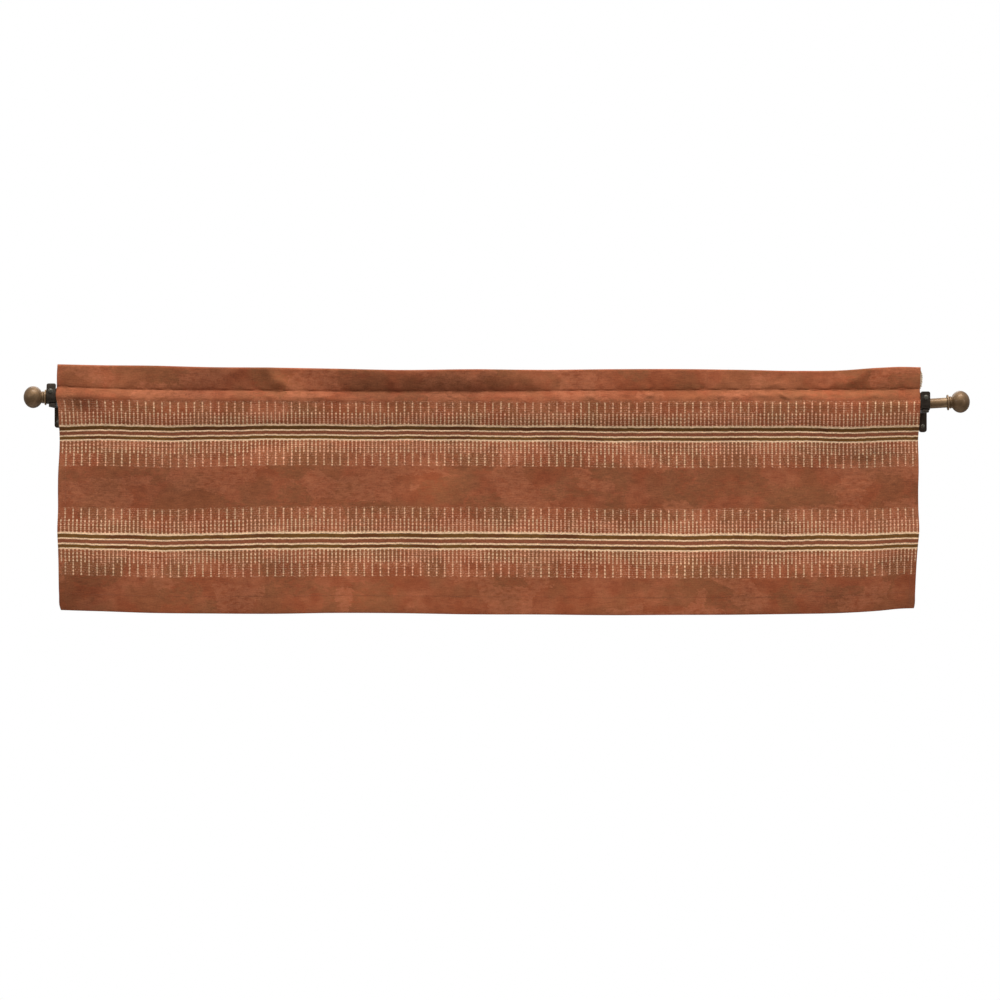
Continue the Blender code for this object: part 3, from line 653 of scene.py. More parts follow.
floor_finish, w, surface = finish_of("pale_floor", 0.9)
place = in_the_scene(w)
spot = place["X"], place["Y"]
patch = w.noise(spot, 0.7, 0.7, detail=3)
w.feed(surface.inputs["Base Color"], w.mix(patch, dye(196, 195, 192), dye(206, 205, 203)))
bumped(w, surface, w.noise(spot, 0.01, 0.01, detail=2), 0.1 * MM)
ground_mesh = bpy.data.meshes.new("floor")
ground_mesh.from_pydata([(x * FLOOR_HALF[0], y * FLOOR_HALF[1], FLOOR_HEIGHT)
                         for x, y in ((-1, -1), (1, -1), (1, 1), (-1, 1))], [], [(0, 1, 2, 3)])
ground_mesh.materials.append(floor_finish)
floor = placed("floor", ground_mesh)
print("floor at", FLOOR_HEIGHT)

# %% [markdown]
# ## The hanging form
# The cloth is a map: a point that lies so far across and so far down the cut cloth goes to a
# place in space. Tables hold the form, and a smooth curve is read through each, so few rows
# are enough. A mesh pulled about by hand would be harder to put right later than a number.

# %% Smooth tables
class Table:
    """Columns of millimetres, read as smooth curves over the first one."""

    def __init__(self, names, *rows):
        self.columns = dict(zip(names.split(), np.array(rows, dtype=float).T * MM))
        self.places = next(iter(self.columns.values()))

    def curve(self, name, at):
        """A column in metres at the places given, on a smooth curve through its rows."""
        x = self.places
        y = self.columns[name]
        slope = np.gradient(y, x)
        at = np.clip(np.asarray(at, dtype=float), x[0], x[-1])
        i = np.clip(np.searchsorted(x, at, side="right") - 1, 0, len(x) - 2)
        gap = x[i + 1] - x[i]
        t = (at - x[i]) / gap
        start = (1 + 2 * t) * (1 - t) ** 2 * y[i] + t * (1 - t) ** 2 * gap * slope[i]
        end = t * t * (3 - 2 * t) * y[i + 1] - t * t * (1 - t) * gap * slope[i + 1]
        return start + end


def ramp(value, low, high):
    """Soft step from 0 at low to 1 at high."""
    t = np.clip((value - low) / (high - low), 0, 1)
    return t * t * (3 - 2 * t)


def bump(distance):
    """Soft hill, 1 in the middle and near 0 from two half widths out."""
    return np.exp(-distance * distance)


print("half way up a soft step is", float(ramp(0.5, 0, 1)))

# %% [markdown]
# The tables are the ones that the CAD model was built from, but with the heading seam about
# 1 mm and the hem 0.5 mm lower. In millimetres they give the rod's line, the rows of the
# cloth, their rise and fall across it, its side edges, the lean and creases of the heading
# and the waves of the skirt. Heights are counted from a level line through the rod.

# %% Tables of the form
CLOTH_WIDTH = 1372 * MM
HALF_CLOTH = CLOTH_WIDTH / 2
ROD_RADIUS = 8 * MM
ROD_EASE = 0.6 * MM
CAD_CLOTH = 1.6 * MM
SEAM_FORWARD = 2 * MM
EDGE_REACH = 45 * MM
CURL_REACH = 24 * MM
HEM_TURN = 60 * MM
HANG_START = 10 * MM
HANG_FULL = 230 * MM

ROD_LINE = Table(
    "across height",
    (-742, 4.9),
    (-696, 4.1),
    (-350, -0.6),
    (0, -3.8),
    (350, -5.8),
    (660, -6.6),
    (693, -6.0),
    (727, -4.1),
    (765, -2.0),
)
ROW_PLACES = {
    # name: down, height
    "top": (0, 48.3),
    "heading_seam": (34, 15.4),
    "upper_band_top": (52.6, -2.0),
    "upper_first_line": (93.4, -40.7),
    "pocket_seam": (100.1, -46.9),
    "upper_last_line": (118.4, -63.7),
    "upper_band_foot": (159.2, -103.0),
    "lower_band_top": (228.0, -171.6),
    "lower_first_line": (268.8, -212.3),
    "lower_last_line": (293.8, -237.4),
    "lower_band_foot": (334.6, -278.2),
    "hem": (395.5, -339.6),
}
DOWN = Table("down height", *ROW_PLACES.values())
HANG_ROWS = ("top", "heading_seam", "upper_first_line", "lower_first_line", "hem")
HANG = Table(
    "across top heading_seam upper_first_line lower_first_line hem hem_back",
    (-682, 56.1, 21.1, -40.8, -210.7, -334.5, 4),
    (-618, 54.9, 18.1, -39.4, -212.1, -336.1, 3),
    (-539, 54.3, 16.1, -41.4, -213.5, -338.7, 1),
    (-444, 51.6, 15.5, -40.5, -213.1, -339.7, 0),
    (-348, 51.0, 14.8, -39.7, -210.8, -340.0, 0),
    (-253, 49.4, 13.7, -39.7, -210.2, -338.7, 0),
    (-142, 46.8, 14.2, -40.5, -210.2, -339.2, 0),
    (-30, 48.0, 14.2, -40.8, -210.4, -340.9, 0),
    (81, 47.2, 14.2, -42.0, -211.3, -341.2, 0),
    (192, 48.3, 14.9, -42.2, -213.0, -342.3, 0),
    (303, 48.4, 15.4, -42.4, -213.9, -341.7, 0),
    (399, 47.2, 16.1, -42.3, -213.4, -341.4, 0),
    (478, 45.5, 16.3, -42.5, -214.0, -340.6, 1),
    (557, 46.1, 16.3, -43.6, -213.5, -338.9, 1),
    (621, 50.7, 16.7, -42.2, -212.6, -335.2, 2),
    (653, 52.1, 17.1, -41.3, -211.1, -332.3, 3),
    (683, 51.5, 17.4, -40.8, -210.4, -331.7, 4),
)
SIDES = Table(
    "down left_in right_in left_back right_back",
    (0, 0.4, 0.2, 0, 0),
    (14, -0.6, 0.8, 0, 0),
    (30, -0.8, 1.5, 0, 0),
    (50, -1.2, 1.8, 0, 0),
    (62, 1.2, 1.9, 0, 0),
    (80, 2.6, 2.5, 0, 0),
    (100, 2.9, 3.2, 1, 1),
    (118, 3.0, 4.0, 2, 2),
    (145, 2.4, 3.6, 1, 1),
    (168, 1.4, 3.6, 0, 0),
    (200, 1.0, 4.2, 0, 1),
    (230, 1.2, 4.0, 1, 1),
    (268, 0.1, 2.8, 0, 1),
    (294, 1.1, 4.9, 1, 3),
    (318, 1.6, 6.3, 2, 5),
    (340, 1.7, 7.0, 3, 8),
    (370, 1.9, 7.6, 5, 11),
    (391, 2.5, 7.9, 8, 14),
    (395.5, 4.0, 8.8, 8, 14),
)
HEADING_LEAN = Table(
    "across middle top",
    (-686, 0.8, 2.0),
    (-655, 0.4, 1.2),
    (-618, -0.8, -0.2),
    (-560, 1.2, 2.2),
    (-505, 2.2, 3.4),
    (-466, 4.0, 5.2),
    (-428, 3.0, 6.2),
    (-390, 2.6, 5.8),
    (-351, 1.8, 3.6),
    (-300, 0.0, 1.6),
    (-250, 2.2, 3.8),
    (-199, 5.0, 6.4),
    (-122, 6.2, 7.6),
    (-60, 5.8, 7.4),
    (0, 5.2, 6.4),
    (40, 4.6, 4.6),
    (70, 4.2, 3.8),
    (84, 1.2, 0.8),
    (106, 0.4, 0.4),
    (182, -0.2, -0.8),
    (258, 0.4, 0.2),
    (300, 1.4, 1.2),
    (335, 1.2, 0.6),
    (380, 0.0, -0.6),
    (430, -1.0, -1.6),
    (500, -0.8, -1.8),
    (545, 0.2, -1.4),
    (575, 1.6, 0.0),
    (602, 2.2, 1.2),
    (640, 2.0, 1.8),
    (672, 1.2, 0.8),
    (686, 0.2, -0.6),
)
HEADING_FOLDS = (
    # at seam, at top, half width, forward, share
    (-655, -650, 40, 1.5, 1.0),
    (-334, -352, 11, 4.5, 0.4),
    (-34, -12, 10, 3.5, 0.5),
    (372, 372, 10, -2.5, 1.0),
    (474, 478, 20, -3.5, 0.7),
    (490, 500, 12, 3.0, 1.0),
    (560, 604, 16, 2.5, 0.5),
)
WAVES = (
    # at pocket, at hem, half width, forward
    (-600, -622, 64, 4.0),
    (-478, -462, 76, -3.0),
    (-318, -330, 70, 3.5),
    (-150, -138, 66, -3.0),
    (8, 24, 84, 4.0),
    (176, 158, 70, -2.5),
    (318, 336, 76, 4.0),
    (470, 462, 60, -3.0),
    (600, 592, 52, 3.5),
)
ROWS = {name: down * MM for name, (down, _) in ROW_PLACES.items()}
TOP_SEAM = ROWS["heading_seam"]
POCKET_SEAM = ROWS["pocket_seam"]
HEM = ROWS["hem"]


def rod_height(across):
    """Height of the rod's axis."""
    return ROD_LINE.curve("height", across)


print("rod sags", round(float(rod_height(-0.6) - rod_height(0.6)) / MM, 1), "mm end to end")

# %% [markdown]
# In the pocket the cloth is drawn tight round the rod between its two seams, so its section
# is a straight line, an arc and a straight line. That is exact geometry, and no simulation
# would be steadier. The heading above leans forward with creases, and the skirt below hangs
# in broad waves with its hem and side edges turned a little to the back.


# %% From flat cloth to hanging cloth
def cloth_height(across, down):
    """Height of a point of the cloth: the mean row height and its rise and fall across."""
    height = DOWN.curve("height", down)
    stops = np.array([ROWS[name] for name in HANG_ROWS])
    for place, name in enumerate(HANG_ROWS):
        share = np.interp(down, stops, np.eye(len(stops))[place])
        height = height + share * (HANG.curve(name, across) - DOWN.curve("height", stops[place]))
    return height


def from_sides(flat, down, left_column, right_column, reach):
    """What the left and the right edge add: all of it at the edge, fading within a reach."""
    edges = (left_column, flat + HALF_CLOTH), (right_column, HALF_CLOTH - flat)
    return [SIDES.curve(name, down) * np.exp(-np.maximum(inward, 0) / reach)
            for name, inward in edges]


def cloth_across(flat, down):
    """Place across of a point that lies flat across and down the cloth."""
    left, right = from_sides(flat, down, "left_in", "right_in", EDGE_REACH)
    return flat + left - right


def taut(height, upper, lower, forward, radius):
    """How far forward cloth stands that is drawn round a rod between two seams."""
    upper_turn = np.arctan2(forward, upper) + np.arccos(radius / np.hypot(upper, forward))
    lower_turn = np.arctan2(forward, lower) - np.arccos(radius / np.hypot(lower, forward))
    from_upper = (radius - height * np.cos(upper_turn)) / np.sin(upper_turn)
    from_lower = (radius - height * np.cos(lower_turn)) / np.sin(lower_turn)
    round_rod = np.sqrt(np.maximum(radius * radius - height * height, 0))
    above = height > radius * np.cos(upper_turn)
    below = height < radius * np.cos(lower_turn)
    return np.where(above, from_upper, np.where(below, from_lower, round_rod))


def fold(flat, start, end, share, half_width, forward):
    """A soft fold that runs from a start to an end across; share is how far along it is."""
    centre = (start + (end - start) * share) * MM
    return forward * MM * bump((flat - centre) / (half_width * MM))


def heading_forward(flat, rise):
    """How far the heading leans forward; rise is 0 at the seam and 1 at the top edge."""
    middle = HEADING_LEAN.curve("middle", flat)
    top = HEADING_LEAN.curve("top", flat)
    total = middle * 4 * rise * (1 - rise) + top * rise * (2 * rise - 1)
    for at_seam, at_top, half_width, forward, share in HEADING_FOLDS:
        total = total + ramp(rise, 0, share) * fold(flat, at_seam, at_top, rise, half_width, forward)
    return total


def hanging_forward(flat, down):
    """Waves of the cloth below the pocket, and its turned-back hem and side edges."""
    along = np.clip((down - POCKET_SEAM) / (HEM - POCKET_SEAM), 0, 1)
    grown = ramp(down, POCKET_SEAM + HANG_START, POCKET_SEAM + HANG_FULL)
    total = np.zeros_like(flat)
    for at_pocket, at_hem, half_width, forward in WAVES:
        total = total + grown * fold(flat, at_pocket, at_hem, along, half_width, forward)
    turned = HANG.curve("hem_back", flat)
    total = total - turned * np.clip((down - HEM + HEM_TURN) / HEM_TURN, 0, 1) ** 2
    left, right = from_sides(flat, down, "left_back", "right_back", CURL_REACH)
    return total - left - right


def seam_heights(across):
    """Heights of the heading seam and the pocket seam above the rod's axis."""
    rod = rod_height(across)
    return cloth_height(across, TOP_SEAM) - rod, cloth_height(across, POCKET_SEAM) - rod


def main_form(flat, down):
    """The cloth's front surface without its fine detail."""
    across = cloth_across(flat, down)
    height = cloth_height(across, down)
    upper, lower = seam_heights(across)
    above_rod = height - rod_height(across)
    heading = SEAM_FORWARD + heading_forward(flat, np.clip((TOP_SEAM - down) / TOP_SEAM, 0, 1))
    over_rod = taut(above_rod, upper, lower, SEAM_FORWARD, ROD_RADIUS + ROD_EASE + CAD_CLOTH)
    hanging = SEAM_FORWARD + hanging_forward(flat, down)
    forward = np.where(down < TOP_SEAM, heading, np.where(down < POCKET_SEAM, over_rod, hanging))
    return np.stack([across, -ROD_OUT - forward, height], axis=-1)


tried = 200 * MM
middle = main_form(np.array([0.0]), np.array([tried]))[0]
print("a point", round(tried / MM), "mm down hangs at height", round(float(middle[Z]) / MM, 1), "mm")

# %% [markdown]
# ## Fine folds
# The needle pulls the cloth in along a seam, and the cloth that it gathers stands up beside
# it in small puckers that fade within a finger's width. A few larger creases have places of
# their own, so they are listed one by one. The skirt is never quite flat either: low, wide
# swells run along it. Sums of sine waves with seeded phases give the puckers and swells, the
# same on every run.

# %% Puckers, creases and swells
GROOVES = (
    # down, depth, half width, pucker, pucker length
    (34.0, 0.5, 1.8, 0.8, 7.0),
    (100.1, 0.6, 1.5, 0.45, 9.0),
)
CREASES = (
    # across, down, half width, half height, slant, forward
    (-350, 43, 6, 3.5, 0.7, 3.0),
    (-268, 44, 10, 3, -0.4, 2.4),
    (-145, 30, 6, 4, 0.6, 2.2),
    (40, 44, 14, 3, 0.3, 2.0),
    (160, 44, 7, 4, 0.5, 2.8),
    (214, 46, 9, 3, 0.5, -2.0),
    (258, 43, 11, 3, 0.3, 3.4),
    (334, 43, 5, 5, -0.4, 2.4),
    (364, 43, 9, 3, 0.2, 3.0),
    (391, 45, 6, 4, 0.3, 2.6),
    (432, 43, 13, 3, -0.3, 2.8),
    (466, 43, 5, 6, 1.3, 4.2),
    (494, 44, 6, 4, -0.9, 2.6),
    (548, 45, 11, 3, 0.6, -2.0),
    (610, 44, 9, 3, -0.6, 2.2),
    (-150, 20, 7, 7, 0.9, 1.2),
    (376, 16, 6, 12, 0.3, 1.3),
    (-18, 27, 9, 7, -0.5, 2.0),
    (-326, 22, 8, 9, 0.7, 1.8),
    (455, 24, 12, 6, -1.2, 1.8),
)
SECTION = Table(
    "down forward",
    (0, 0),
    (34, 0),
    (37, -0.35),
    (41, 0.3),
    (46, 0.85),
    (52, 0.75),
    (58, 0.3),
    (65, 0.4),
    (74, 1.0),
    (83, 1.3),
    (92, 0.9),
    (100.1, 0),
    (108, -0.9),
    (118, -1.3),
    (132, -0.8),
    (150, 0),
    (388, 0),
    (391.5, -0.2),
    (395.5, -1.0),
)
SWELL = 0.8 * MM
SMALL_SWELL = 0.3 * SWELL
SWELL_GROWN = 40 * MM
CRUMPLE = 0.16 * MM
CRUMPLE_END = 60 * MM
CRUMPLE_FULL = 30 * MM
WAVES_IN_RIPPLE = 9


def ripple(flat, down, seed, wide, tall):
    """Smooth random field from about -1 to 1 with lumps so wide and tall in millimetres."""
    chance = np.random.default_rng(seed)
    total = np.zeros_like(flat)
    for _ in range(WAVES_IN_RIPPLE):
        turn_flat, turn_down = chance.uniform(-1, 1, 2)
        wave = np.sin(flat * 2 * math.pi / (wide * MM) * (0.6 + turn_flat * 0.4)
                      + down * 2 * math.pi / (tall * MM) * turn_down + chance.uniform(0, 2 * math.pi))
        total = total + wave * chance.uniform(0.6, 1.4)
    return total / math.sqrt(WAVES_IN_RIPPLE)


def fine_forward(flat, down):
    """What the seams, small creases and swells add to the main form, in metres."""
    total = SECTION.curve("forward", down)
    hanging = ramp(down, POCKET_SEAM, POCKET_SEAM + SWELL_GROWN)
    total = total + SWELL * ripple(flat, down, seed=5, wide=170, tall=130) * hanging
    total = total + SMALL_SWELL * ripple(flat, down, seed=6, wide=46, tall=50)
    in_heading = ramp(down, CRUMPLE_END, CRUMPLE_FULL)
    total = total + CRUMPLE * ripple(flat, down, seed=7, wide=26, tall=20) * in_heading
    for place, (at, depth, half_width, pucker, length) in enumerate(GROOVES):
        away = np.abs(down - at * MM)
        uneven = np.clip(ripple(flat, down, seed=40 + place, wide=90, tall=900), -1.2, 0.6)
        total = total - depth * MM * (1 + 0.5 * uneven) * bump(away / (half_width * MM))
        near = np.exp(-away / (length * MM)) * ramp(away, 0, 2 * MM)
        puckers = ripple(flat, down, seed=20 + place, wide=15, tall=60)
        total = total + pucker * MM * near * puckers
    for across, at, half_width, half_height, slant, forward in CREASES:
        below = down - at * MM
        beside = flat - across * MM - slant * below
        total = total + (forward * MM * bump(beside / (half_width * MM))
                         * bump(below / (half_height * MM)))
    return total


def face_form(flat, down):
    """The cloth's front surface with its fine folds."""
    point = main_form(flat, down)
    point[..., Y] -= fine_forward(flat, down)
    return point


print(len(CREASES), "creases set by hand")

# %% [markdown]
# ## A thin sheet with rolled edges
# Cloth has two sides and edges that are folded, not cut off square. The sheet here is a grid
# of points for its outer side. Its other side lies one thickness behind, along the surface
# normal. Towards each edge the two sides close on each other along a half circle and share
# their last points, so the mesh is closed and every edge is round. A Solidify modifier would
# leave square edges and couldn't thicken the hems alone.

# %% Sheet mesh
# a cell's corners as steps down and across, in the order in which its face looks outward
OUTER_ORDER = ((0, 0), (1, 0), (1, 1), (0, 1))
INNER_ORDER = ((0, 0), (0, 1), (1, 1), (1, 0))


def unit(vectors):
    """Vectors brought to length 1."""
    return vectors / np.linalg.norm(vectors, axis=-1, keepdims=True)


def from_edges(points):
    """Distance along the cloth from each point to the nearest edge of its grid."""
    distances = []
    for axis in (0, 1):
        run = np.linalg.norm(np.diff(points, axis=axis), axis=-1).cumsum(axis=axis)
        run = np.insert(run, 0, 0, axis=axis)
        distances += [run, np.take(run, [-1], axis=axis) - run]
    return np.minimum.reduce(distances)


def sheet_sides(points, thickness):
    """Outer and inner side of a sheet, drawn together along a half circle at its edges."""
    inward = unit(np.cross(np.gradient(points, axis=1), np.gradient(points, axis=0)))
    half = thickness / 2
    reach = np.clip(from_edges(points) / half, 0, 1)
    apart = inward * (half * np.sqrt(1 - (1 - reach) ** 2))[..., None]
    middle = points + inward * half[..., None]
    return middle - apart, middle + apart


def cell_corners(grid, order):
    """What a grid holds at the four corners of each of its cells."""
    rows, columns = grid.shape[:2]
    corners = [grid[a:a + rows - 1, b:b + columns - 1] for a, b in order]
    return np.stack([corner.reshape(-1, *grid.shape[2:]) for corner in corners], 1)


def sheet_object(name, points, thickness, outer_cut, inner_cut, finishes, inner_slot=0, tone=None):
    """A closed thin sheet over a grid of points on its outer side.

    outer_cut and inner_cut are each point's place on the cut cloth, for the pattern.
    inner_slot says which of the finishes each point of the inner side has.
    """
    rows, columns = points.shape[:2]
    outer, inner = sheet_sides(points, thickness)
    number = np.arange(rows * columns).reshape(rows, columns)
    inside = np.zeros((rows, columns), dtype=bool)
    inside[1:-1, 1:-1] = True
    inner_number = number.copy()
    inner_number[inside] = rows * columns + np.arange(inside.sum())
    vertices = np.concatenate([outer.reshape(-1, 3), inner[inside]])
    faces = np.concatenate([cell_corners(number, OUTER_ORDER), cell_corners(inner_number, INNER_ORDER)])
    mesh = bpy.data.meshes.new(name)
    mesh.from_pydata(vertices.tolist(), [], faces.tolist())
    places = np.concatenate([cell_corners(outer_cut, OUTER_ORDER), cell_corners(inner_cut, INNER_ORDER)])
    mesh.uv_layers.new(name="cut").data.foreach_set("uv", places.astype(np.float32).ravel())
    for finish in finishes:
        mesh.materials.append(finish)
    slots = np.zeros((2, rows - 1, columns - 1), dtype=np.int32)
    slots[1] = np.broadcast_to(inner_slot, (rows, columns))[:-1, :-1]
    mesh.polygons.foreach_set("material_index", slots.ravel())
    mesh.polygons.foreach_set("use_smooth", np.ones(slots.size, dtype=bool))
    if tone is not None:
        # the tone that the print reads: uneven dye and painted light and shade
        shade = mesh.attributes.new("tone", "FLOAT", "POINT")
        shade.data.foreach_set("value", np.concatenate([tone.ravel(), tone[inside]]).astype(np.float32))
    mesh.update()
    return placed(name, mesh)


def spaced(*stops):
    """Numbers from the first stop on: each further stop is reached in steps of its own size."""
    places = [stops[0]]
    for end, step in stops[1:]:
        count = max(1, round((end - places[-1]) / step))
        places += list(np.linspace(places[-1], end, count + 1)[1:])
    return np.array(places)


print("sheet tools ready")

# %% [markdown]
# ## The face cloth
# The print runs a few millimetres ahead towards the middle, since the cloth was stretched
# unevenly when it was cut. The cloth lies in broad lighter and darker patches: partly uneven
# dye, partly painted light and shade of the heading, the pocket and the folds. These have
# places of their own, and each point of the mesh keeps the tone that its material reads.

# %% Places and tones of the print
PRINT_START = 635.3 * MM
PRINT_AHEAD = 4.2 * MM
PRINT_MIDDLE = -11.4 * MM
PRINT_SPREAD = 624 * MM

# row by row down the cloth: uneven dye and painted light and shade
DYE_AND_SHADE_STRETCHES = (
    # down, tone
    (17, 0.05),
    (34, 0.12),
    (38, 0),
    (48, -0.04),
    (51, -0.01),
    (57, 0.3),
    (78, 0),
    (140, -0.06),
    (192, -0.05),
    (250, 0),
    (313, 0.06),
    (370, 0.17),
)
# patches of uneven dye and of painted light and shade
DYE_AND_SHADE_PATCHES = (
    # across, down, half width, half height, tone
    (-600, 16, 60, 22, 0.18),
    (-445, 16, 55, 20, -0.2),
    (-325, 16, 30, 22, 0.26),
    (-215, 16, 60, 20, -0.22),
    (-60, 22, 90, 22, -0.24),
    (75, 14, 36, 20, 0.2),
    (400, 16, 60, 20, 0.12),
    (590, 16, 80, 22, 0.12),
    (-470, 42, 50, 8, -0.22),
    (-160, 44, 120, 8, -0.18),
    (320, 44, 34, 9, 0.26),
    (540, 41, 120, 7, 0.36),
    (-540, 52, 90, 6, 0.24),
    (360, 52, 300, 6, -0.16),
    (-645, 60, 36, 12, -0.6),
    (-325, 140, 60, 26, 0.2),
    (600, 140, 70, 26, -0.22),
    (-560, 192, 120, 28, -0.14),
    (-86, 194, 44, 32, 0.38),
    (480, 192, 70, 28, 0.14),
    (-325, 316, 30, 24, -0.2),
    (-225, 320, 50, 24, 0.18),
    (310, 320, 36, 30, 0.26),
    (635, 316, 40, 26, -0.24),
    (-640, 360, 45, 50, -0.26),
    (-400, 374, 40, 26, -0.2),
    (-190, 374, 80, 26, 0.26),
    (230, 374, 110, 26, 0.14),
    (400, 372, 50, 26, -0.2),
    (550, 370, 60, 26, -0.26),
)


def print_place(flat, down):
    """Where a point of the cloth lies in the pattern."""
    ahead = PRINT_AHEAD * (1 - ((flat - PRINT_MIDDLE) / PRINT_SPREAD) ** 2)
    return np.stack([flat + PRINT_START - ahead, down], axis=-1)


def dye_and_shade_tone(flat, down):
    """How much lighter or darker a point is: uneven dye and painted light and shade."""
    total = np.interp(down / MM, *np.array(DYE_AND_SHADE_STRETCHES).T)
    for across, at, half_width, half_height, tone in DYE_AND_SHADE_PATCHES:
        beside = (flat - across * MM) / (half_width * MM)
        below = (down - at * MM) / (half_height * MM)
        total = total + tone * bump(beside) * bump(below)
    return total


# the patches are uneven dye and painted light and shade
print(len(DYE_AND_SHADE_PATCHES), "patches of dye")

# %% [markdown]
# One cloth makes the whole front. At the top it rolls over the lining and comes a little way
# down behind it. Its sides and foot are folded to the back and sewn, so there it is three
# layers thick and shows its right side again, mirrored at the fold. The folds could be
# modelled layer by layer, but nobody sees between them, so the sheet is made thicker there.

# %% Face cloth
THICKNESS = 0.8 * MM
HEM_LAYERS = 2.3 * MM
SIDE_HEM = 14 * MM
BOTTOM_HEM = 30 * MM
HEM_FOLD = HEM - BOTTOM_HEM
HEM_STEP = 0.7 * MM
ROLL = 2.5 * MM
ROLL_HEIGHT = 3.2 * MM
ROLL_STEPS = 10
ROLL_TURNS = np.linspace(math.pi, 0, ROLL_STEPS + 1)[:-1]
FACING = 7 * MM
# distances in from an edge, close together where the edge is rounded
FROM_SIDE = np.array([0, 0.12, 0.4, 0.8, 1.3, 2.4, 5, 9, 13.3]) * MM
FROM_FOOT = np.array([2.0, 1.3, 0.8, 0.4, 0.12, 0]) * MM
FROM_FACING_END = np.array([0, 0.12, 0.4, 1.5, 3, 4.5, 6]) * MM
COLUMN_STEP = 3.7 * MM
SEAM_ZONE = 4 * MM
# where the steps down the cloth change, and the size of the steps up to there
ROW_STOPS = (
    (TOP_SEAM - SEAM_ZONE, 2.6 * MM),
    (TOP_SEAM + SEAM_ZONE, 0.8 * MM),
    (POCKET_SEAM - SEAM_ZONE, 2.4 * MM),
    (POCKET_SEAM + SEAM_ZONE, 0.9 * MM),
    (HEM_FOLD - HEM_STEP, 5.8 * MM),
    (HEM_FOLD, HEM_STEP),
    (HEM - 3 * MM, 4.5 * MM),
)

side = np.concatenate([FROM_SIDE, [SIDE_HEM, SIDE_HEM + HEM_STEP, SIDE_HEM + 3 * MM]])
middle = spaced(-HALF_CLOTH + side[-1], (HALF_CLOTH - side[-1], COLUMN_STEP))
flat_places = np.concatenate([-HALF_CLOTH + side[:-1], middle, HALF_CLOTH - side[:-1][::-1]])
front_rows = np.concatenate([spaced(ROLL, *ROW_STOPS), HEM - FROM_FOOT])

flat, down = np.meshgrid(flat_places, front_rows)
front = face_form(flat, down)
flat_back, down_back = np.meshgrid(flat_places, ROLL + FACING - FROM_FACING_END)
facing = face_form(flat_back, down_back)
facing[..., Y] += 2 * ROLL
arc = [front[0] + np.array([0, ROLL * (1 - math.cos(turn)), ROLL_HEIGHT * math.sin(turn)])
       for turn in ROLL_TURNS]
points = np.concatenate([facing, arc, front])
flat = np.broadcast_to(flat_places, points.shape[:2])
down = np.concatenate([-down_back, np.outer(-ROLL * ROLL_TURNS, np.ones(len(flat_places))), down])
sides_in = ramp(np.abs(flat), HALF_CLOTH - SIDE_HEM - HEM_STEP, HALF_CLOTH - SIDE_HEM)
sides_in = sides_in * ramp(down, POCKET_SEAM, POCKET_SEAM + 2 * MM)
foot_in = ramp(down, HEM_FOLD - HEM_STEP, HEM_FOLD)
turned_in = np.maximum(sides_in, foot_in)
thickness = THICKNESS + (HEM_LAYERS - THICKNESS) * turned_in
in_foot = foot_in > 0.5
in_side = (sides_in > 0.5) & ~in_foot
mirrored = np.where(in_side, np.sign(flat) * (2 * HALF_CLOTH - np.abs(flat)), flat)
mirrored_down = np.where(in_foot, 2 * HEM - down, down)
# its tone holds uneven dye and painted light and shade
valance = sheet_object(
    "valance_cloth", points, thickness, print_place(flat, down), print_place(mirrored, mirrored_down),
    (face_print, wrong_side), inner_slot=turned_in <= 0.5, tone=dye_and_shade_tone(flat, down))
print("valance_cloth", len(valance.data.polygons), "quads")

# %% [markdown]
# ## The lining
# A cream cloth backs the heading and closes the pocket behind the rod. Its right edge stands
# out a little beside the heading, the only place where it shows from the front. It follows
# the face in the heading and under the pocket seam, and in between it goes round the back of
# the rod.

# %% Lining
LINING_THICKNESS = 0.7 * MM
LINING_HEM = 1.3 * MM
LINING_HEM_START = 7 * MM
LINING_HEM_FULL = 6.4 * MM
LINING_BEHIND = 2.8 * MM
LINING_TOP = 4 * MM
LINING_FOOT = 110 * MM
LINING_LEFT_IN = 4 * MM
LINING_LEFT = -HALF_CLOTH + LINING_LEFT_IN
LINING_EDGE = Table(
    "down right_out",
    (4, 0.2),
    (8, 2.2),
    (11, 3.2),
    (13, 2.7),
    (16, 3.6),
    (19, 3.0),
    (22, 3.5),
    (25, 2.4),
    (28, 2.7),
    (31, 1.0),
    (34, -0.6),
    (37, -2.6),
    (60, -3.2),
    (110, -3.2),
)
EDGE_FADES = 30 * MM
LINING_SWELL = 0.12 * MM
# distances in from an edge, close together where the edge is rounded
FROM_LINING_RIGHT = np.array([8, 6, 4, 2.5, 1.4, 0.7, 0.35, 0.12, 0]) * MM
FROM_LINING_FOOT = np.array([0.6, 0.3, 0.1, 0]) * MM
# where the steps change, and the size of the steps up to there
LINING_COLUMN_STOPS = (
    (LINING_LEFT + 0.8 * MM, 0.2 * MM),
    (HALF_CLOTH - 10 * MM, 4.6 * MM),
)
LINING_ROW_STOPS = (
    (LINING_TOP + 0.8 * MM, 0.2 * MM),
    (TOP_SEAM - 2 * MM, 3 * MM),
    (TOP_SEAM + 2 * MM, 1 * MM),
    (POCKET_SEAM - 2 * MM, 2.2 * MM),
    (POCKET_SEAM + 2 * MM, 1 * MM),
    (LINING_FOOT - 1 * MM, 2.5 * MM),
)


def lining_form(flat, down):
    """Front surface of the lining: against the face, but behind the rod in the pocket."""
    point = main_form(flat, down)
    across, deep, height = (point[..., axis] for axis in (X, Y, Z))
    upper, lower = seam_heights(across)
    back = LINING_BEHIND - SEAM_FORWARD
    round_back = taut(height - rod_height(across), upper, lower, back, ROD_RADIUS + ROD_EASE)
    in_pocket = (down > TOP_SEAM) & (down < POCKET_SEAM)
    point[..., Y] = np.where(in_pocket, -ROD_OUT + round_back, deep + LINING_BEHIND)
    return point


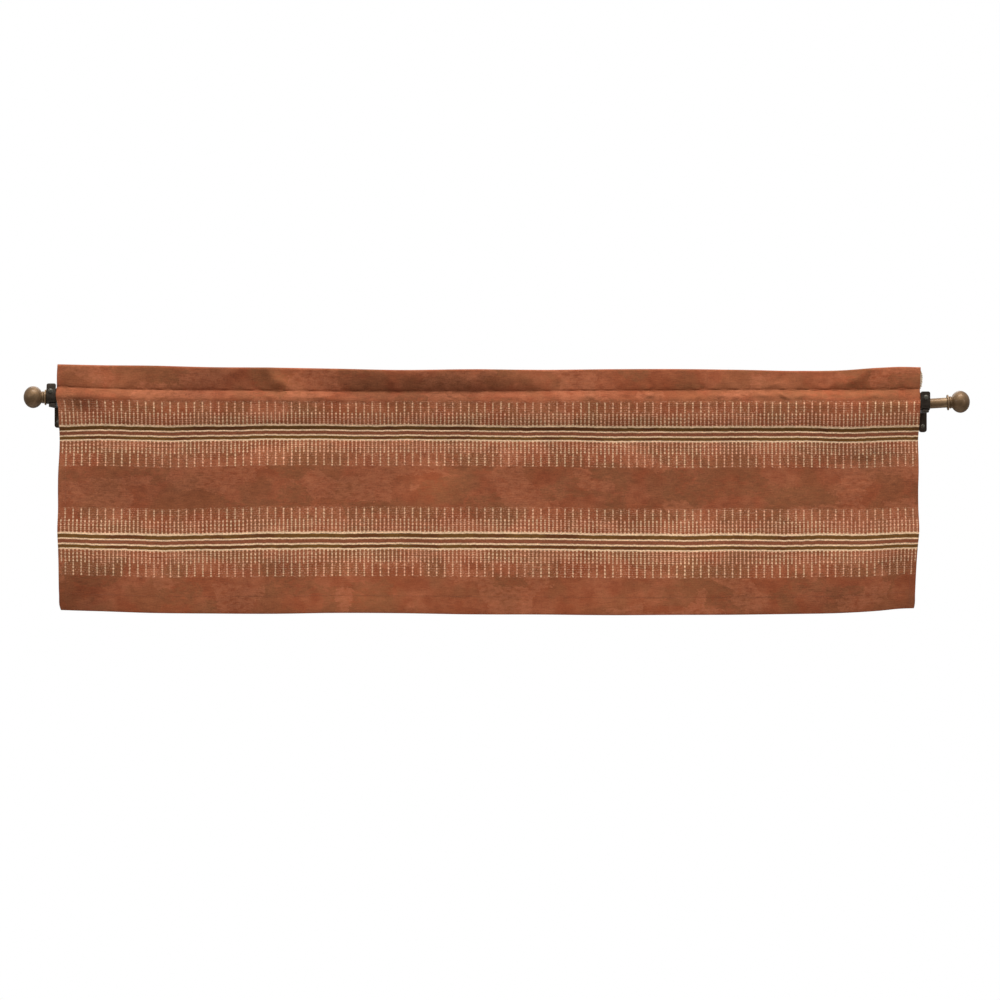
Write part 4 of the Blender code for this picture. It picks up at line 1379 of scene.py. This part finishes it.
flat, down = np.meshgrid(
    np.concatenate([spaced(LINING_LEFT, *LINING_COLUMN_STOPS), HALF_CLOTH - FROM_LINING_RIGHT]),
    np.concatenate([spaced(LINING_TOP, *LINING_ROW_STOPS), LINING_FOOT - FROM_LINING_FOOT]))
flat = flat + LINING_EDGE.curve("right_out", down) * ramp(flat, HALF_CLOTH - EDGE_FADES, HALF_CLOTH)
points = lining_form(flat, down)
points[..., Y] += LINING_SWELL * ripple(flat, down, seed=31, wide=24, tall=40)
cut = np.stack([flat, down], axis=-1)
in_hem = ramp(down, LINING_FOOT - LINING_HEM_START, LINING_FOOT - LINING_HEM_FULL)
thickness = LINING_THICKNESS + (LINING_HEM - LINING_THICKNESS) * in_hem
lining = sheet_object("cream_lining", points, thickness, cut, cut, (lining_cloth,))
print("cream_lining", len(lining.data.polygons), "quads")

# %% [markdown]
# ## Stitches
# A seam is a row of stitches, each a short length of thread that comes up out of the cloth
# and goes back in. Each stitch here is a small tapered tube that dips into the cloth at both
# ends. They lie in the grooves of the heading seam and the pocket seam, on both sides of the
# cloth, and along the hems.

# %% Stitch rows
STITCH = 2.5 * MM
STITCH_PITCH = 3.2 * MM
THREAD_RADIUS = 0.19 * MM
THREAD_SIDES = 6
SIDE_STITCH_IN = 12.2 * MM
FOOT_STITCH_UP = 27.8 * MM
SEAM_ENDS_IN = 3 * MM
HEM_ENDS_IN = 15 * MM
SIDE_ENDS_IN = 4 * MM
# the lining is narrower than the face, so its rows leave out two stitches at each end
LINING_STITCHES = slice(2, -2)
# stations along a stitch: how far along, how thick and how high over the cloth
STATIONS = np.array([0, 0.16, 0.5, 0.84, 1.0])
GIRTHS = np.array([0.3, 0.9, 1.0, 0.9, 0.3]) * THREAD_RADIUS
LIFTS = np.array([-0.9, 0.35, 0.7, 0.35, -0.9]) * THREAD_RADIUS


def round_turns(sides):
    """Angles of points that stand evenly round a circle."""
    return np.arange(sides) * 2 * math.pi / sides


def band(ring, following, sides):
    """Quads between two rings of points, told by the numbers of their first points."""
    return [(ring + side, ring + (side + 1) % sides, following + (side + 1) % sides, following + side)
            for side in range(sides)]


def cap(ring, sides):
    """One face over a ring of points."""
    return tuple(range(ring, ring + sides))


def plain_object(name, points, faces, finish):
    """A smooth mesh object with one finish."""
    mesh = bpy.data.meshes.new(name)
    mesh.from_pydata([tuple(map(float, point)) for point in points], [], faces)
    mesh.polygons.foreach_set("use_smooth", np.ones(len(mesh.polygons), dtype=bool))
    mesh.materials.append(finish)
    return placed(name, mesh)


def stitches(starts, ends, outward):
    """Points and faces of a row of stitches between two lists of points on a surface."""
    along = ends - starts
    beside = unit(np.cross(along, outward))[:, None, None]
    outward = outward[:, None]
    centre = starts[:, None] + along[:, None] * STATIONS[:, None] + outward * LIFTS[:, None]
    turns = round_turns(THREAD_SIDES)[:, None]
    around = beside * np.cos(turns) + outward[:, None] * np.sin(turns)
    points = (centre[:, :, None] + around * GIRTHS[:, None, None]).reshape(-1, 3)
    faces = []
    last = (len(STATIONS) - 1) * THREAD_SIDES
    for first in range(0, len(points), last + THREAD_SIDES):
        for ring in range(first, first + last, THREAD_SIDES):
            faces += band(ring, ring + THREAD_SIDES, THREAD_SIDES)
        faces += [cap(first, THREAD_SIDES)[::-1], cap(first + last, THREAD_SIDES)]
    return points, faces


def stitch_row(name, form, flat, down, depth=0.0):
    """A row of stitches on the cloth's front, or at a depth behind it.

    A row along the cloth has many places across and one down, an upright row the reverse.
    """
    move_flat, move_down = (STITCH / 2, 0) if np.ndim(down) == 0 else (0, STITCH / 2)
    flat, down = np.broadcast_arrays(flat, down)
    starts = form(flat - move_flat, down - move_down)
    ends = form(flat + move_flat, down + move_down)
    reach = 0.4 * MM
    across = form(flat + reach, down) - form(flat - reach, down)
    below = form(flat, down + reach) - form(flat, down - reach)
    inward = unit(np.cross(across, below))
    sunk = inward * depth
    outward = inward if depth else -inward
    return plain_object(name, *stitches(starts + sunk, ends + sunk, outward), rust_thread)


seam = np.arange(-HALF_CLOTH + SEAM_ENDS_IN, HALF_CLOTH - SEAM_ENDS_IN, STITCH_PITCH)
foot = np.arange(-HALF_CLOTH + HEM_ENDS_IN, HALF_CLOTH - HEM_ENDS_IN, STITCH_PITCH)
upright = np.arange(POCKET_SEAM + SIDE_ENDS_IN, HEM - SIDE_ENDS_IN, STITCH_PITCH)
thread_rows = [
    stitch_row("heading_stitches", face_form, seam, TOP_SEAM),
    stitch_row("pocket_stitches", face_form, seam, POCKET_SEAM),
    stitch_row("foot_stitches", face_form, foot, HEM - FOOT_STITCH_UP),
    stitch_row("foot_stitches_back", face_form, foot, HEM - FOOT_STITCH_UP, HEM_LAYERS),
]
for name, sign in (("left", -1), ("right", 1)):
    across = sign * (HALF_CLOTH - SIDE_STITCH_IN)
    thread_rows += [
        stitch_row("side_stitches_" + name, face_form, across, upright),
        stitch_row("side_stitches_back_" + name, face_form, across, upright, HEM_LAYERS),
    ]
seam = seam[LINING_STITCHES]
lining_rows_of_thread = [
    stitch_row("heading_stitches_back", lining_form, seam, TOP_SEAM, LINING_THICKNESS),
    stitch_row("pocket_stitches_back", lining_form, seam, POCKET_SEAM, LINING_THICKNESS),
]
print(len(thread_rows) + len(lining_rows_of_thread), "rows of stitches")

# %% [markdown]
# ## The bound edge of the lining
# The lining's cut edges are bound with cream thread that loops over them, which is the
# speckled sliver beside the heading. A tube swept along a path makes thread: the path goes
# in front, over the edge, behind, and on to the next loop.

# %% Overcast edges
LOOP_PITCH = 3.2 * MM
LOOP_RADIUS = 0.3 * MM
LOOP_ENDS_IN = 1.2 * MM
LOOP = (
    # inside the edge, depth, share of the pitch along it
    (2.2, -0.2, 0.0),
    (0.5, -0.3, 0.22),
    (0.0, -0.26, 0.26),
    (-0.28, 0.05, 0.3),
    (-0.34, 0.4, 0.34),
    (-0.28, 0.75, 0.38),
    (0.0, 1.02, 0.42),
    (0.5, 1.05, 0.46),
    (2.2, 0.98, 0.6),
    (0.5, 1.05, 0.72),
    (-0.28, 0.75, 0.78),
    (-0.34, 0.4, 0.82),
    (-0.28, 0.05, 0.86),
    (0.5, -0.3, 0.92),
)
# a direction that no thread runs in, to turn the tube's rings by
ASIDE = (0.31, 0.17, 0.93)


def tube(points, radius, sides):
    """Points and faces of a closed tube along a path."""
    points = np.asarray(points, dtype=float)
    along = unit(np.gradient(points, axis=0))
    upright = unit(np.cross(along, ASIDE))
    beside = np.cross(along, upright)
    turns = round_turns(sides)[:, None]
    around = upright[:, None] * np.cos(turns) + beside[:, None] * np.sin(turns)
    rings = points[:, None] + radius * around
    last = (len(points) - 1) * sides
    faces = [(a, d, c, b) for ring in range(0, last, sides)
             for a, b, c, d in band(ring, ring + sides, sides)]
    return rings.reshape(-1, 3), faces + [cap(0, sides), cap(last, sides)[::-1]]


def overcast(name, sign):
    """Loops of thread over the lining's left or right edge."""
    path = []
    for at in np.arange(LINING_TOP + LOOP_ENDS_IN, LINING_FOOT - LOOP_ENDS_IN, LOOP_PITCH):
        edge = HALF_CLOTH + float(LINING_EDGE.curve("right_out", at)) if sign > 0 else LINING_LEFT
        for inside, depth, along in LOOP:
            flat = np.array([edge - sign * inside * MM])
            spot = lining_form(flat, np.array([at + along * LOOP_PITCH]))[0]
            path.append(spot + np.array([0, depth * MM, 0]))
    return plain_object(name, *tube(path, LOOP_RADIUS, THREAD_SIDES), cream_thread)


for name, sign in (("lining_edge_left", -1), ("lining_edge_right", 1)):
    lining_rows_of_thread.append(overcast(name, sign))
print("lining edges bound")

# %% [markdown]
# ## The rod
# The rod is a steel tube. Anything round is a profile spun about an axis, so one function
# spins a list of stations along the axis with a radius each. The rod's axis sags, so the
# tube follows its curve ring by ring. The list comes back inside the tube and closes on
# itself, which makes the wall.

# %% Rod
ROD_LEFT = -703.2 * MM
ROD_RIGHT = 727.2 * MM
ROD_WALL = 1 * MM
ROD_LIP = 0.25 * MM
ROD_SIDES = 56
RING_STEP = 12 * MM
TILT_REACH = 4 * MM
SHARP_FROM = math.radians(34)


def rod_axis(across):
    """The point of the rod's axis at a place across."""
    return across, -ROD_OUT, float(rod_height(across))


def rod_tilt(across):
    """Angle at which the rod's axis rises along X."""
    low, high = (rod_axis(across + reach)[Z] for reach in (-TILT_REACH, TILT_REACH))
    return math.atan2(high - low, 2 * TILT_REACH)


def ring_points(centre, tilt, radius, sides):
    """Points of a circle about an axis that runs along X and rises at the tilt."""
    x, y, z = centre
    points = []
    for turn in round_turns(sides):
        upright = radius * math.cos(turn)
        points.append((x - upright * math.sin(tilt), y + radius * math.sin(turn),
                       z + upright * math.cos(tilt)))
    return points


def spun(rings, closed_along=False):
    """Points and faces over rings of points, capped at the ends or joined end to end."""
    sides = len(rings[0])
    points = [point for ring in rings for point in ring]
    firsts = list(range(0, len(points), sides))
    following = firsts[1:] + firsts[:1] if closed_along else firsts[1:]
    faces = [face for pair in zip(firsts, following) for face in band(*pair, sides)]
    if not closed_along:
        faces += [cap(0, sides), cap(firsts[-1], sides)[::-1]]
    return points, faces


def outward_faces(made):
    """Turns all faces of a closed mesh outward and marks its sharp edges."""
    shape = bmesh.new()
    shape.from_mesh(made.data)
    bmesh.ops.recalc_face_normals(shape, faces=shape.faces)
    for line in shape.edges:
        line.smooth = len(line.link_faces) == 2 and line.calc_face_angle() < SHARP_FROM
    for face in shape.faces:
        face.smooth = True
    shape.to_mesh(made.data)
    shape.free()


def turned(name, rings, finish, closed_along=False):
    """An object over rings of points, with its faces outward."""
    made = plain_object(name, *spun(rings, closed_along), finish)
    outward_faces(made)
    return made


stops = spaced(ROD_LEFT, (ROD_RIGHT, RING_STEP))
profile = [(stops[0], ROD_RADIUS - ROD_LIP), (stops[0] + ROD_LIP, ROD_RADIUS)]
profile += [(stop, ROD_RADIUS) for stop in stops[1:-1]]
profile += [(stops[-1] - ROD_LIP, ROD_RADIUS), (stops[-1], ROD_RADIUS - ROD_LIP)]
profile += [(stop, ROD_RADIUS - ROD_WALL) for stop in stops[::-1]]
rings = [ring_points(rod_axis(across), rod_tilt(across), radius, ROD_SIDES)
         for across, radius in profile]
rod = turned("rod_tube", rings, bronze, closed_along=True)
print("rod_tube", len(rod.data.polygons), "faces")

# %% [markdown]
# ## The finials
# The finials are turned on a lathe: a flat collar, a bead, a neck and a ball. The collar and
# the bead are stations written down, the ball is an ellipse worked out by a loop, and both
# are spun like the rod. A spigot behind the collar holds the finial in the rod's end.

# %% Finials
BALL_RADIUS = 17.5 * MM
BALL_HALF_LENGTH = 15.2 * MM
BALL_CENTRE = 21 * MM
BALL_STEPS = 40
SPIGOT_RADIUS = 6.5 * MM
SPIGOT_LENGTH = 16 * MM
SPIGOT_LIP = 0.6 * MM
COLLAR_GAP = 0.3 * MM
FINIAL_SIDES = 72
TURNING = (
    # along, radius
    (0.0, 11.6),
    (0.15, 12.0),
    (0.5, 12.35),
    (1.2, 12.45),
    (2.0, 12.35),
    (2.35, 12.0),
    (2.5, 11.4),
    (2.62, 9.6),
    (2.8, 8.95),
    (3.3, 8.75),
    (3.8, 8.9),
    (4.2, 9.4),
    (4.8, 9.85),
    (5.4, 9.95),
    (6.0, 9.75),
    (6.5, 9.25),
    (6.8, 8.8),
    (7.0, 8.9),
)


def finial(side):
    """One turned finial with its spigot in the rod's end."""
    outward = -1 if side == "left" else 1
    end = ROD_LEFT if side == "left" else ROD_RIGHT
    tilt = rod_tilt(end)
    stations = [(-SPIGOT_LENGTH, SPIGOT_RADIUS - SPIGOT_LIP),
                (SPIGOT_LIP - SPIGOT_LENGTH, SPIGOT_RADIUS), (0, SPIGOT_RADIUS)]
    stations += [(along * MM, radius * MM) for along, radius in TURNING]
    neck = stations[-1][1]
    first = math.acos(-math.sqrt(1 - (neck / BALL_RADIUS) ** 2))
    for step in range(1, BALL_STEPS):
        turn = first * (1 - step / BALL_STEPS)
        stations.append((BALL_CENTRE + BALL_HALF_LENGTH * math.cos(turn), BALL_RADIUS * math.sin(turn)))
    rings = []
    for along, radius in stations:
        reach = outward * (along + COLLAR_GAP)
        centre = rod_axis(end) + np.array([reach * math.cos(tilt), 0, reach * math.sin(tilt)])
        rings.append(ring_points(centre, tilt, radius, FINIAL_SIDES))
    return turned("finial_" + side + "_turned", rings, bronze)


finials = {side: finial(side) for side in ("left", "right")}
print("finials", [len(made.data.polygons) for made in finials.values()])

# %% [markdown]
# ## Steel parts
# Brackets and screws are joined and cut bodies. An exact Boolean gives clean seams between
# them, where bodies that only overlap would show a hard line. Small bevels catch the light
# along the edges, which sharp boxes never do. The modifiers go into the mesh at once, so
# that the next cut works on the finished body.

# %% Joining and rounding
BEVEL_SEGMENTS = 3
BEVEL_FROM = math.radians(40)
CORNER_SEGMENTS = 10
CUTTER_SIDES = 32
SMALL = MM / 10


def into_mesh(made):
    """Turns an object's modifiers into its own mesh."""
    bpy.context.view_layer.update()
    shaped = made.evaluated_get(bpy.context.evaluated_depsgraph_get())
    mesh = bpy.data.meshes.new_from_object(shaped)
    made.modifiers.clear()
    made.data = mesh


def bevelled(made, width):
    """Rounds an object's edges with a bevel that is then part of its mesh."""
    step = made.modifiers.new("round", "BEVEL")
    step.width = width
    step.segments = BEVEL_SEGMENTS
    step.limit_method = "ANGLE"
    step.angle_limit = BEVEL_FROM
    into_mesh(made)


def joined(made, other, operation):
    """Boolean of two objects; the second is used up."""
    step = made.modifiers.new("form", "BOOLEAN")
    step.operation = operation
    step.solver = "EXACT"
    step.object = other
    into_mesh(made)
    bpy.data.objects.remove(other)


def round_some_edges(shape, chosen, radius, segments):
    """Rounds those edges of a mesh that are chosen."""
    edges = [line for line in shape.edges if chosen(line)]
    bmesh.ops.bevel(shape, geom=edges, offset=radius, segments=segments, profile=0.5, affect="EDGES")


def length_along(line, axis):
    """How far an edge reaches along one of the axes."""
    return abs(line.verts[0].co[axis] - line.verts[1].co[axis])


def block(name, low, high, edge, finish, corner=None):
    """A box with rounded edges. With a corner, its four edges along Y are rounder."""
    shape = bmesh.new()
    bmesh.ops.create_cube(shape, size=1)
    for point in shape.verts:
        point.co = [a + (share + 0.5) * (b - a) for a, b, share in zip(low, high, point.co)]
    if corner:
        round_some_edges(shape, lambda line: length_along(line, Y) > SMALL, corner, CORNER_SEGMENTS)
    mesh = bpy.data.meshes.new(name)
    shape.to_mesh(mesh)
    shape.free()
    mesh.materials.append(finish)
    made = placed(name, mesh)
    bevelled(made, edge)
    return made


def upright_ring(across, depth, height, radius, sides):
    """Points of a circle about an axis along Y."""
    return [(across + radius * math.cos(turn), depth, height + radius * math.sin(turn))
            for turn in round_turns(sides)]


def round_cutter(across, depth, height, radius, length):
    """A cutter for a hole along Y, its middle at a depth."""
    ends = (depth - length / 2, depth + length / 2)
    rings = [upright_ring(across, end, height, radius, CUTTER_SIDES) for end in ends]
    return turned("cutter", rings, black_paint)


print("metal tools ready")

# %% [markdown]
# ## The brackets
# Each bracket is pressed from steel strip: a cup bent round the rod, an arm back to the wall
# and a plate with two screws. The cup is drawn as the outline of the strip seen from the end
# and drawn out to its width. The front wall of the left cup leans back a little, so it looks
# lighter than the right one.

# %% Brackets
BRACKETS = (
    # side, cup centre, cup above, plate below, arm offset, arm bottom, cup left, cup right, lean
    ("left", -696.0, 22.2, 47, 2.5, -15.4, -6.6, 8.2, 4.6),
    ("right", 693.2, 19.4, 44, -0.6, -14.0, -8.7, 6.6, 0.2),
)
CUP_CORNER = 3 * MM
CUP_CORNER_SEGMENTS = 7
CUP_EDGE = 0.45 * MM
CUP_WALL = 2 * MM
CUP_CLEARANCE = 0.5 * MM
CUP_INNER = ROD_RADIUS + CUP_CLEARANCE
CUP_OUTER = CUP_INNER + CUP_WALL
CUP_BACK_ABOVE = 15 * MM
CUP_STEPS = 36
LEAN_START = 4 * MM
LEAN_STOPS = (14 * MM, 9 * MM, LEAN_START)
ARM_WIDTH = 11 * MM
ARM_TOP = -9.2 * MM
ARM_FRONT = 7.5 * MM
ARM_EDGE = 1.0 * MM
PLATE_WIDTH = 13 * MM
PLATE_OFFSET = 3.6 * MM
PLATE_HEIGHT = 64 * MM
PLATE_THICKNESS = 2.6 * MM
PLATE_EDGE = 0.5 * MM
PLATE_CORNER = 4.5 * MM
CUP_SCREW_ABOVE = 10.2 * MM
WALL_SCREW_FROM_END = 9.6 * MM
# radius and length of the cutters for the holes
CUP_HOLE = (1.8 * MM, 30 * MM)
WALL_HOLE = (2.1 * MM, 10 * MM)


def cup_strip(name, left, right, axis, above, lean):
    """The bent strip of a cup, its front wall so high and leaning back by so much at its top."""
    fronts = [(height, lean * max(0.0, (height - LEAN_START) / (above - LEAN_START)))
              for height in (above, *LEAN_STOPS)]
    turns = [math.pi * step / CUP_STEPS for step in range(CUP_STEPS + 1)]
    outer, inner = (
        [(-radius + back, height) for height, back in fronts]
        + [(-radius * math.cos(turn), -radius * math.sin(turn)) for turn in turns]
        + [(radius, CUP_BACK_ABOVE)] for radius in (CUP_OUTER, CUP_INNER))
    outline = outer + inner[::-1]
    rings = [[(across, axis[Y] + y, axis[Z] + z) for y, z in outline] for across in (left, right)]
    made = turned(name, rings, black_paint)

    def at_the_top(line):
        low = min(end.co.z for end in line.verts)
        upright_wall = low > axis[Z] + CUP_BACK_ABOVE - SMALL
        return length_along(line, X) < SMALL and upright_wall and line.calc_length() < CUP_WALL + MM

    shape = bmesh.new()
    shape.from_mesh(made.data)
    round_some_edges(shape, at_the_top, CUP_CORNER, CUP_CORNER_SEGMENTS)
    shape.to_mesh(made.data)
    shape.free()
    outward_faces(made)
    bevelled(made, CUP_EDGE)
    return made


def screw_heights(axis_height, plate_below):
    """Heights of a bracket's upper and lower wall screws."""
    foot = axis_height - plate_below * MM
    return {"upper": foot + PLATE_HEIGHT - WALL_SCREW_FROM_END, "lower": foot + WALL_SCREW_FROM_END}


def bracket(side, centre, above, plate_below, arm_offset, arm_bottom, cup_left, cup_right, lean):
    """One bracket with its screw holes."""
    centre *= MM
    axis = rod_axis(centre)
    made = cup_strip("bracket_" + side + "_painted", centre + cup_left * MM, centre + cup_right * MM,
                     axis, above * MM, lean * MM)
    arm = centre + arm_offset * MM
    joined(made, block("arm", (arm - ARM_WIDTH / 2, -ROD_OUT - ARM_FRONT, axis[Z] + arm_bottom * MM),
                       (arm + ARM_WIDTH / 2, -PLATE_THICKNESS / 2, axis[Z] + ARM_TOP),
                       ARM_EDGE, black_paint), "UNION")
    foot = axis[Z] - plate_below * MM
    plate = centre + PLATE_OFFSET
    joined(made, block("plate", (plate - PLATE_WIDTH / 2, -PLATE_THICKNESS, foot),
                       (plate + PLATE_WIDTH / 2, 0, foot + PLATE_HEIGHT),
                       PLATE_EDGE, black_paint, PLATE_CORNER), "UNION")
    joined(made, round_cutter(centre, -ROD_OUT, axis[Z] + CUP_SCREW_ABOVE, *CUP_HOLE), "DIFFERENCE")
    for height in screw_heights(axis[Z], plate_below).values():
        joined(made, round_cutter(plate, 0, height, *WALL_HOLE), "DIFFERENCE")
    outward_faces(made)
    return made


brackets = {row[0]: bracket(*row) for row in BRACKETS}
print("brackets", [len(made.data.polygons) for made in brackets.values()])

# %% [markdown]
# ## The screws
# A pan-head screw is a lathe form with a cross cut into its head. The cross is two thin
# blocks taken out with a Boolean, each screw turned to its own angle, as real ones end up.

# %% Screws
SCREW_KINDS = {
    # kind: head, dome, shank, length
    "cup": (3.5 * MM, 1.6 * MM, 1.5 * MM, 19.5 * MM),
    "wall": (3.2 * MM, 1.6 * MM, 1.8 * MM, 2.65 * MM),
}
SCREW_SIDES = 40
SCREW_GAP = 0.35 * MM
TIP_LENGTH = 0.4 * MM
TIP_SHARE = 0.9
NECK_ROUND = 0.2 * MM
HEAD_EDGE = 0.15 * MM
HEAD_RIM = 0.12 * MM
DOME_TURNS = np.linspace(0.15, 1.0, 9)[:-1] * math.pi / 2
# shares of the head's radius and of its dome's height
SLOT_REACH = 0.62
SLOT_FLOOR = 0.62
SLOT_HALF = 0.28 * MM
SLOT_ABOVE = 0.3 * MM
SLOT_EDGE = 0.1 * MM
SLOT_FLATTER = 0.55
SLOT_SUNK = 0.5 * MM


def screw(name, kind, across, seat, height, angle):
    """A screw along Y whose head lies against a seat."""
    head, dome, shank, length = SCREW_KINDS[kind]
    rim = seat - HEAD_RIM
    profile = [(seat + length, shank * TIP_SHARE), (seat + length - TIP_LENGTH, shank),
               (seat + SCREW_GAP / 2, shank), (seat, shank + NECK_ROUND),
               (seat, head - HEAD_EDGE), (rim, head)]
    profile += [(rim - (dome - HEAD_RIM) * math.sin(turn), head * math.cos(turn)) for turn in DOME_TURNS]
    rings = [upright_ring(across, depth, height, radius, SCREW_SIDES) for depth, radius in profile]
    made = turned(name, rings, screw_metal)
    for quarter in (0, 90):
        slot = block("slot", (-head * SLOT_REACH, -dome, -SLOT_HALF),
                     (head * SLOT_REACH, SLOT_ABOVE, SLOT_HALF), SLOT_EDGE, screw_metal)
        turn = math.radians(angle + quarter)
        for point in slot.data.vertices:
            x, y, z = point.co
            point.co = (across + x * math.cos(turn) - z * math.sin(turn),
                        seat - dome * SLOT_FLOOR + y * SLOT_FLATTER - SLOT_SUNK,
                        height + x * math.sin(turn) + z * math.cos(turn))
        joined(made, slot, "DIFFERENCE")
    outward_faces(made)
    return made


CUP_SCREW_ANGLES = {"left": 31, "right": 12}
FIRST_WALL_ANGLE = 20
NEXT_WALL_ANGLE = 17
screws = {}
for side, centre, cup_above, plate_below, *_, lean in BRACKETS:
    centre, _, axis_height = rod_axis(centre * MM)
    head_foot = CUP_SCREW_ABOVE - SCREW_KINDS["cup"][0]
    leans_by = lean * (head_foot - LEAN_START) / (cup_above - LEAN_START / MM)
    cup_front = -ROD_OUT - CUP_OUTER + leans_by
    name = "cup_screw_" + side
    screws[name] = screw(name + "_cross", "cup", centre, cup_front - SCREW_GAP,
                         axis_height + CUP_SCREW_ABOVE, CUP_SCREW_ANGLES[side])
    for place, height in screw_heights(axis_height, plate_below).items():
        name = "wall_screw_" + side + "_" + place
        screws[name] = screw(name + "_cross", "wall", centre + PLATE_OFFSET,
                             -PLATE_THICKNESS - SCREW_GAP, height,
                             FIRST_WALL_ANGLE + len(screws) * NEXT_WALL_ANGLE)
print(len(screws), "screws")

# %% [markdown]
# ## Saying what each piece is
# Each piece takes the place of a CAD node, which is hidden, and rides on a body. Nothing here
# moves, so all ride on the one body.

# %% Declarations
REPLACED = {
    "valance_face": (valance, "face_cloth"),
    "pocket_lining": (lining, "cream_lining"),
    "rod": (rod, "bronze"),
}
REPLACED.update({"finial_" + side: (made, "bronze") for side, made in finials.items()})
REPLACED.update({"bracket_" + side: (made, "black_steel") for side, made in brackets.items()})
REPLACED.update({name: (made, "dark_screw") for name, made in screws.items()})
for node, (piece, slot) in REPLACED.items():
    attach(piece, "root")
    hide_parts(node)
for piece in thread_rows:
    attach(piece, "root")
for piece in lining_rows_of_thread:
    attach(piece, "root")
print(len(REPLACED), "nodes replaced")
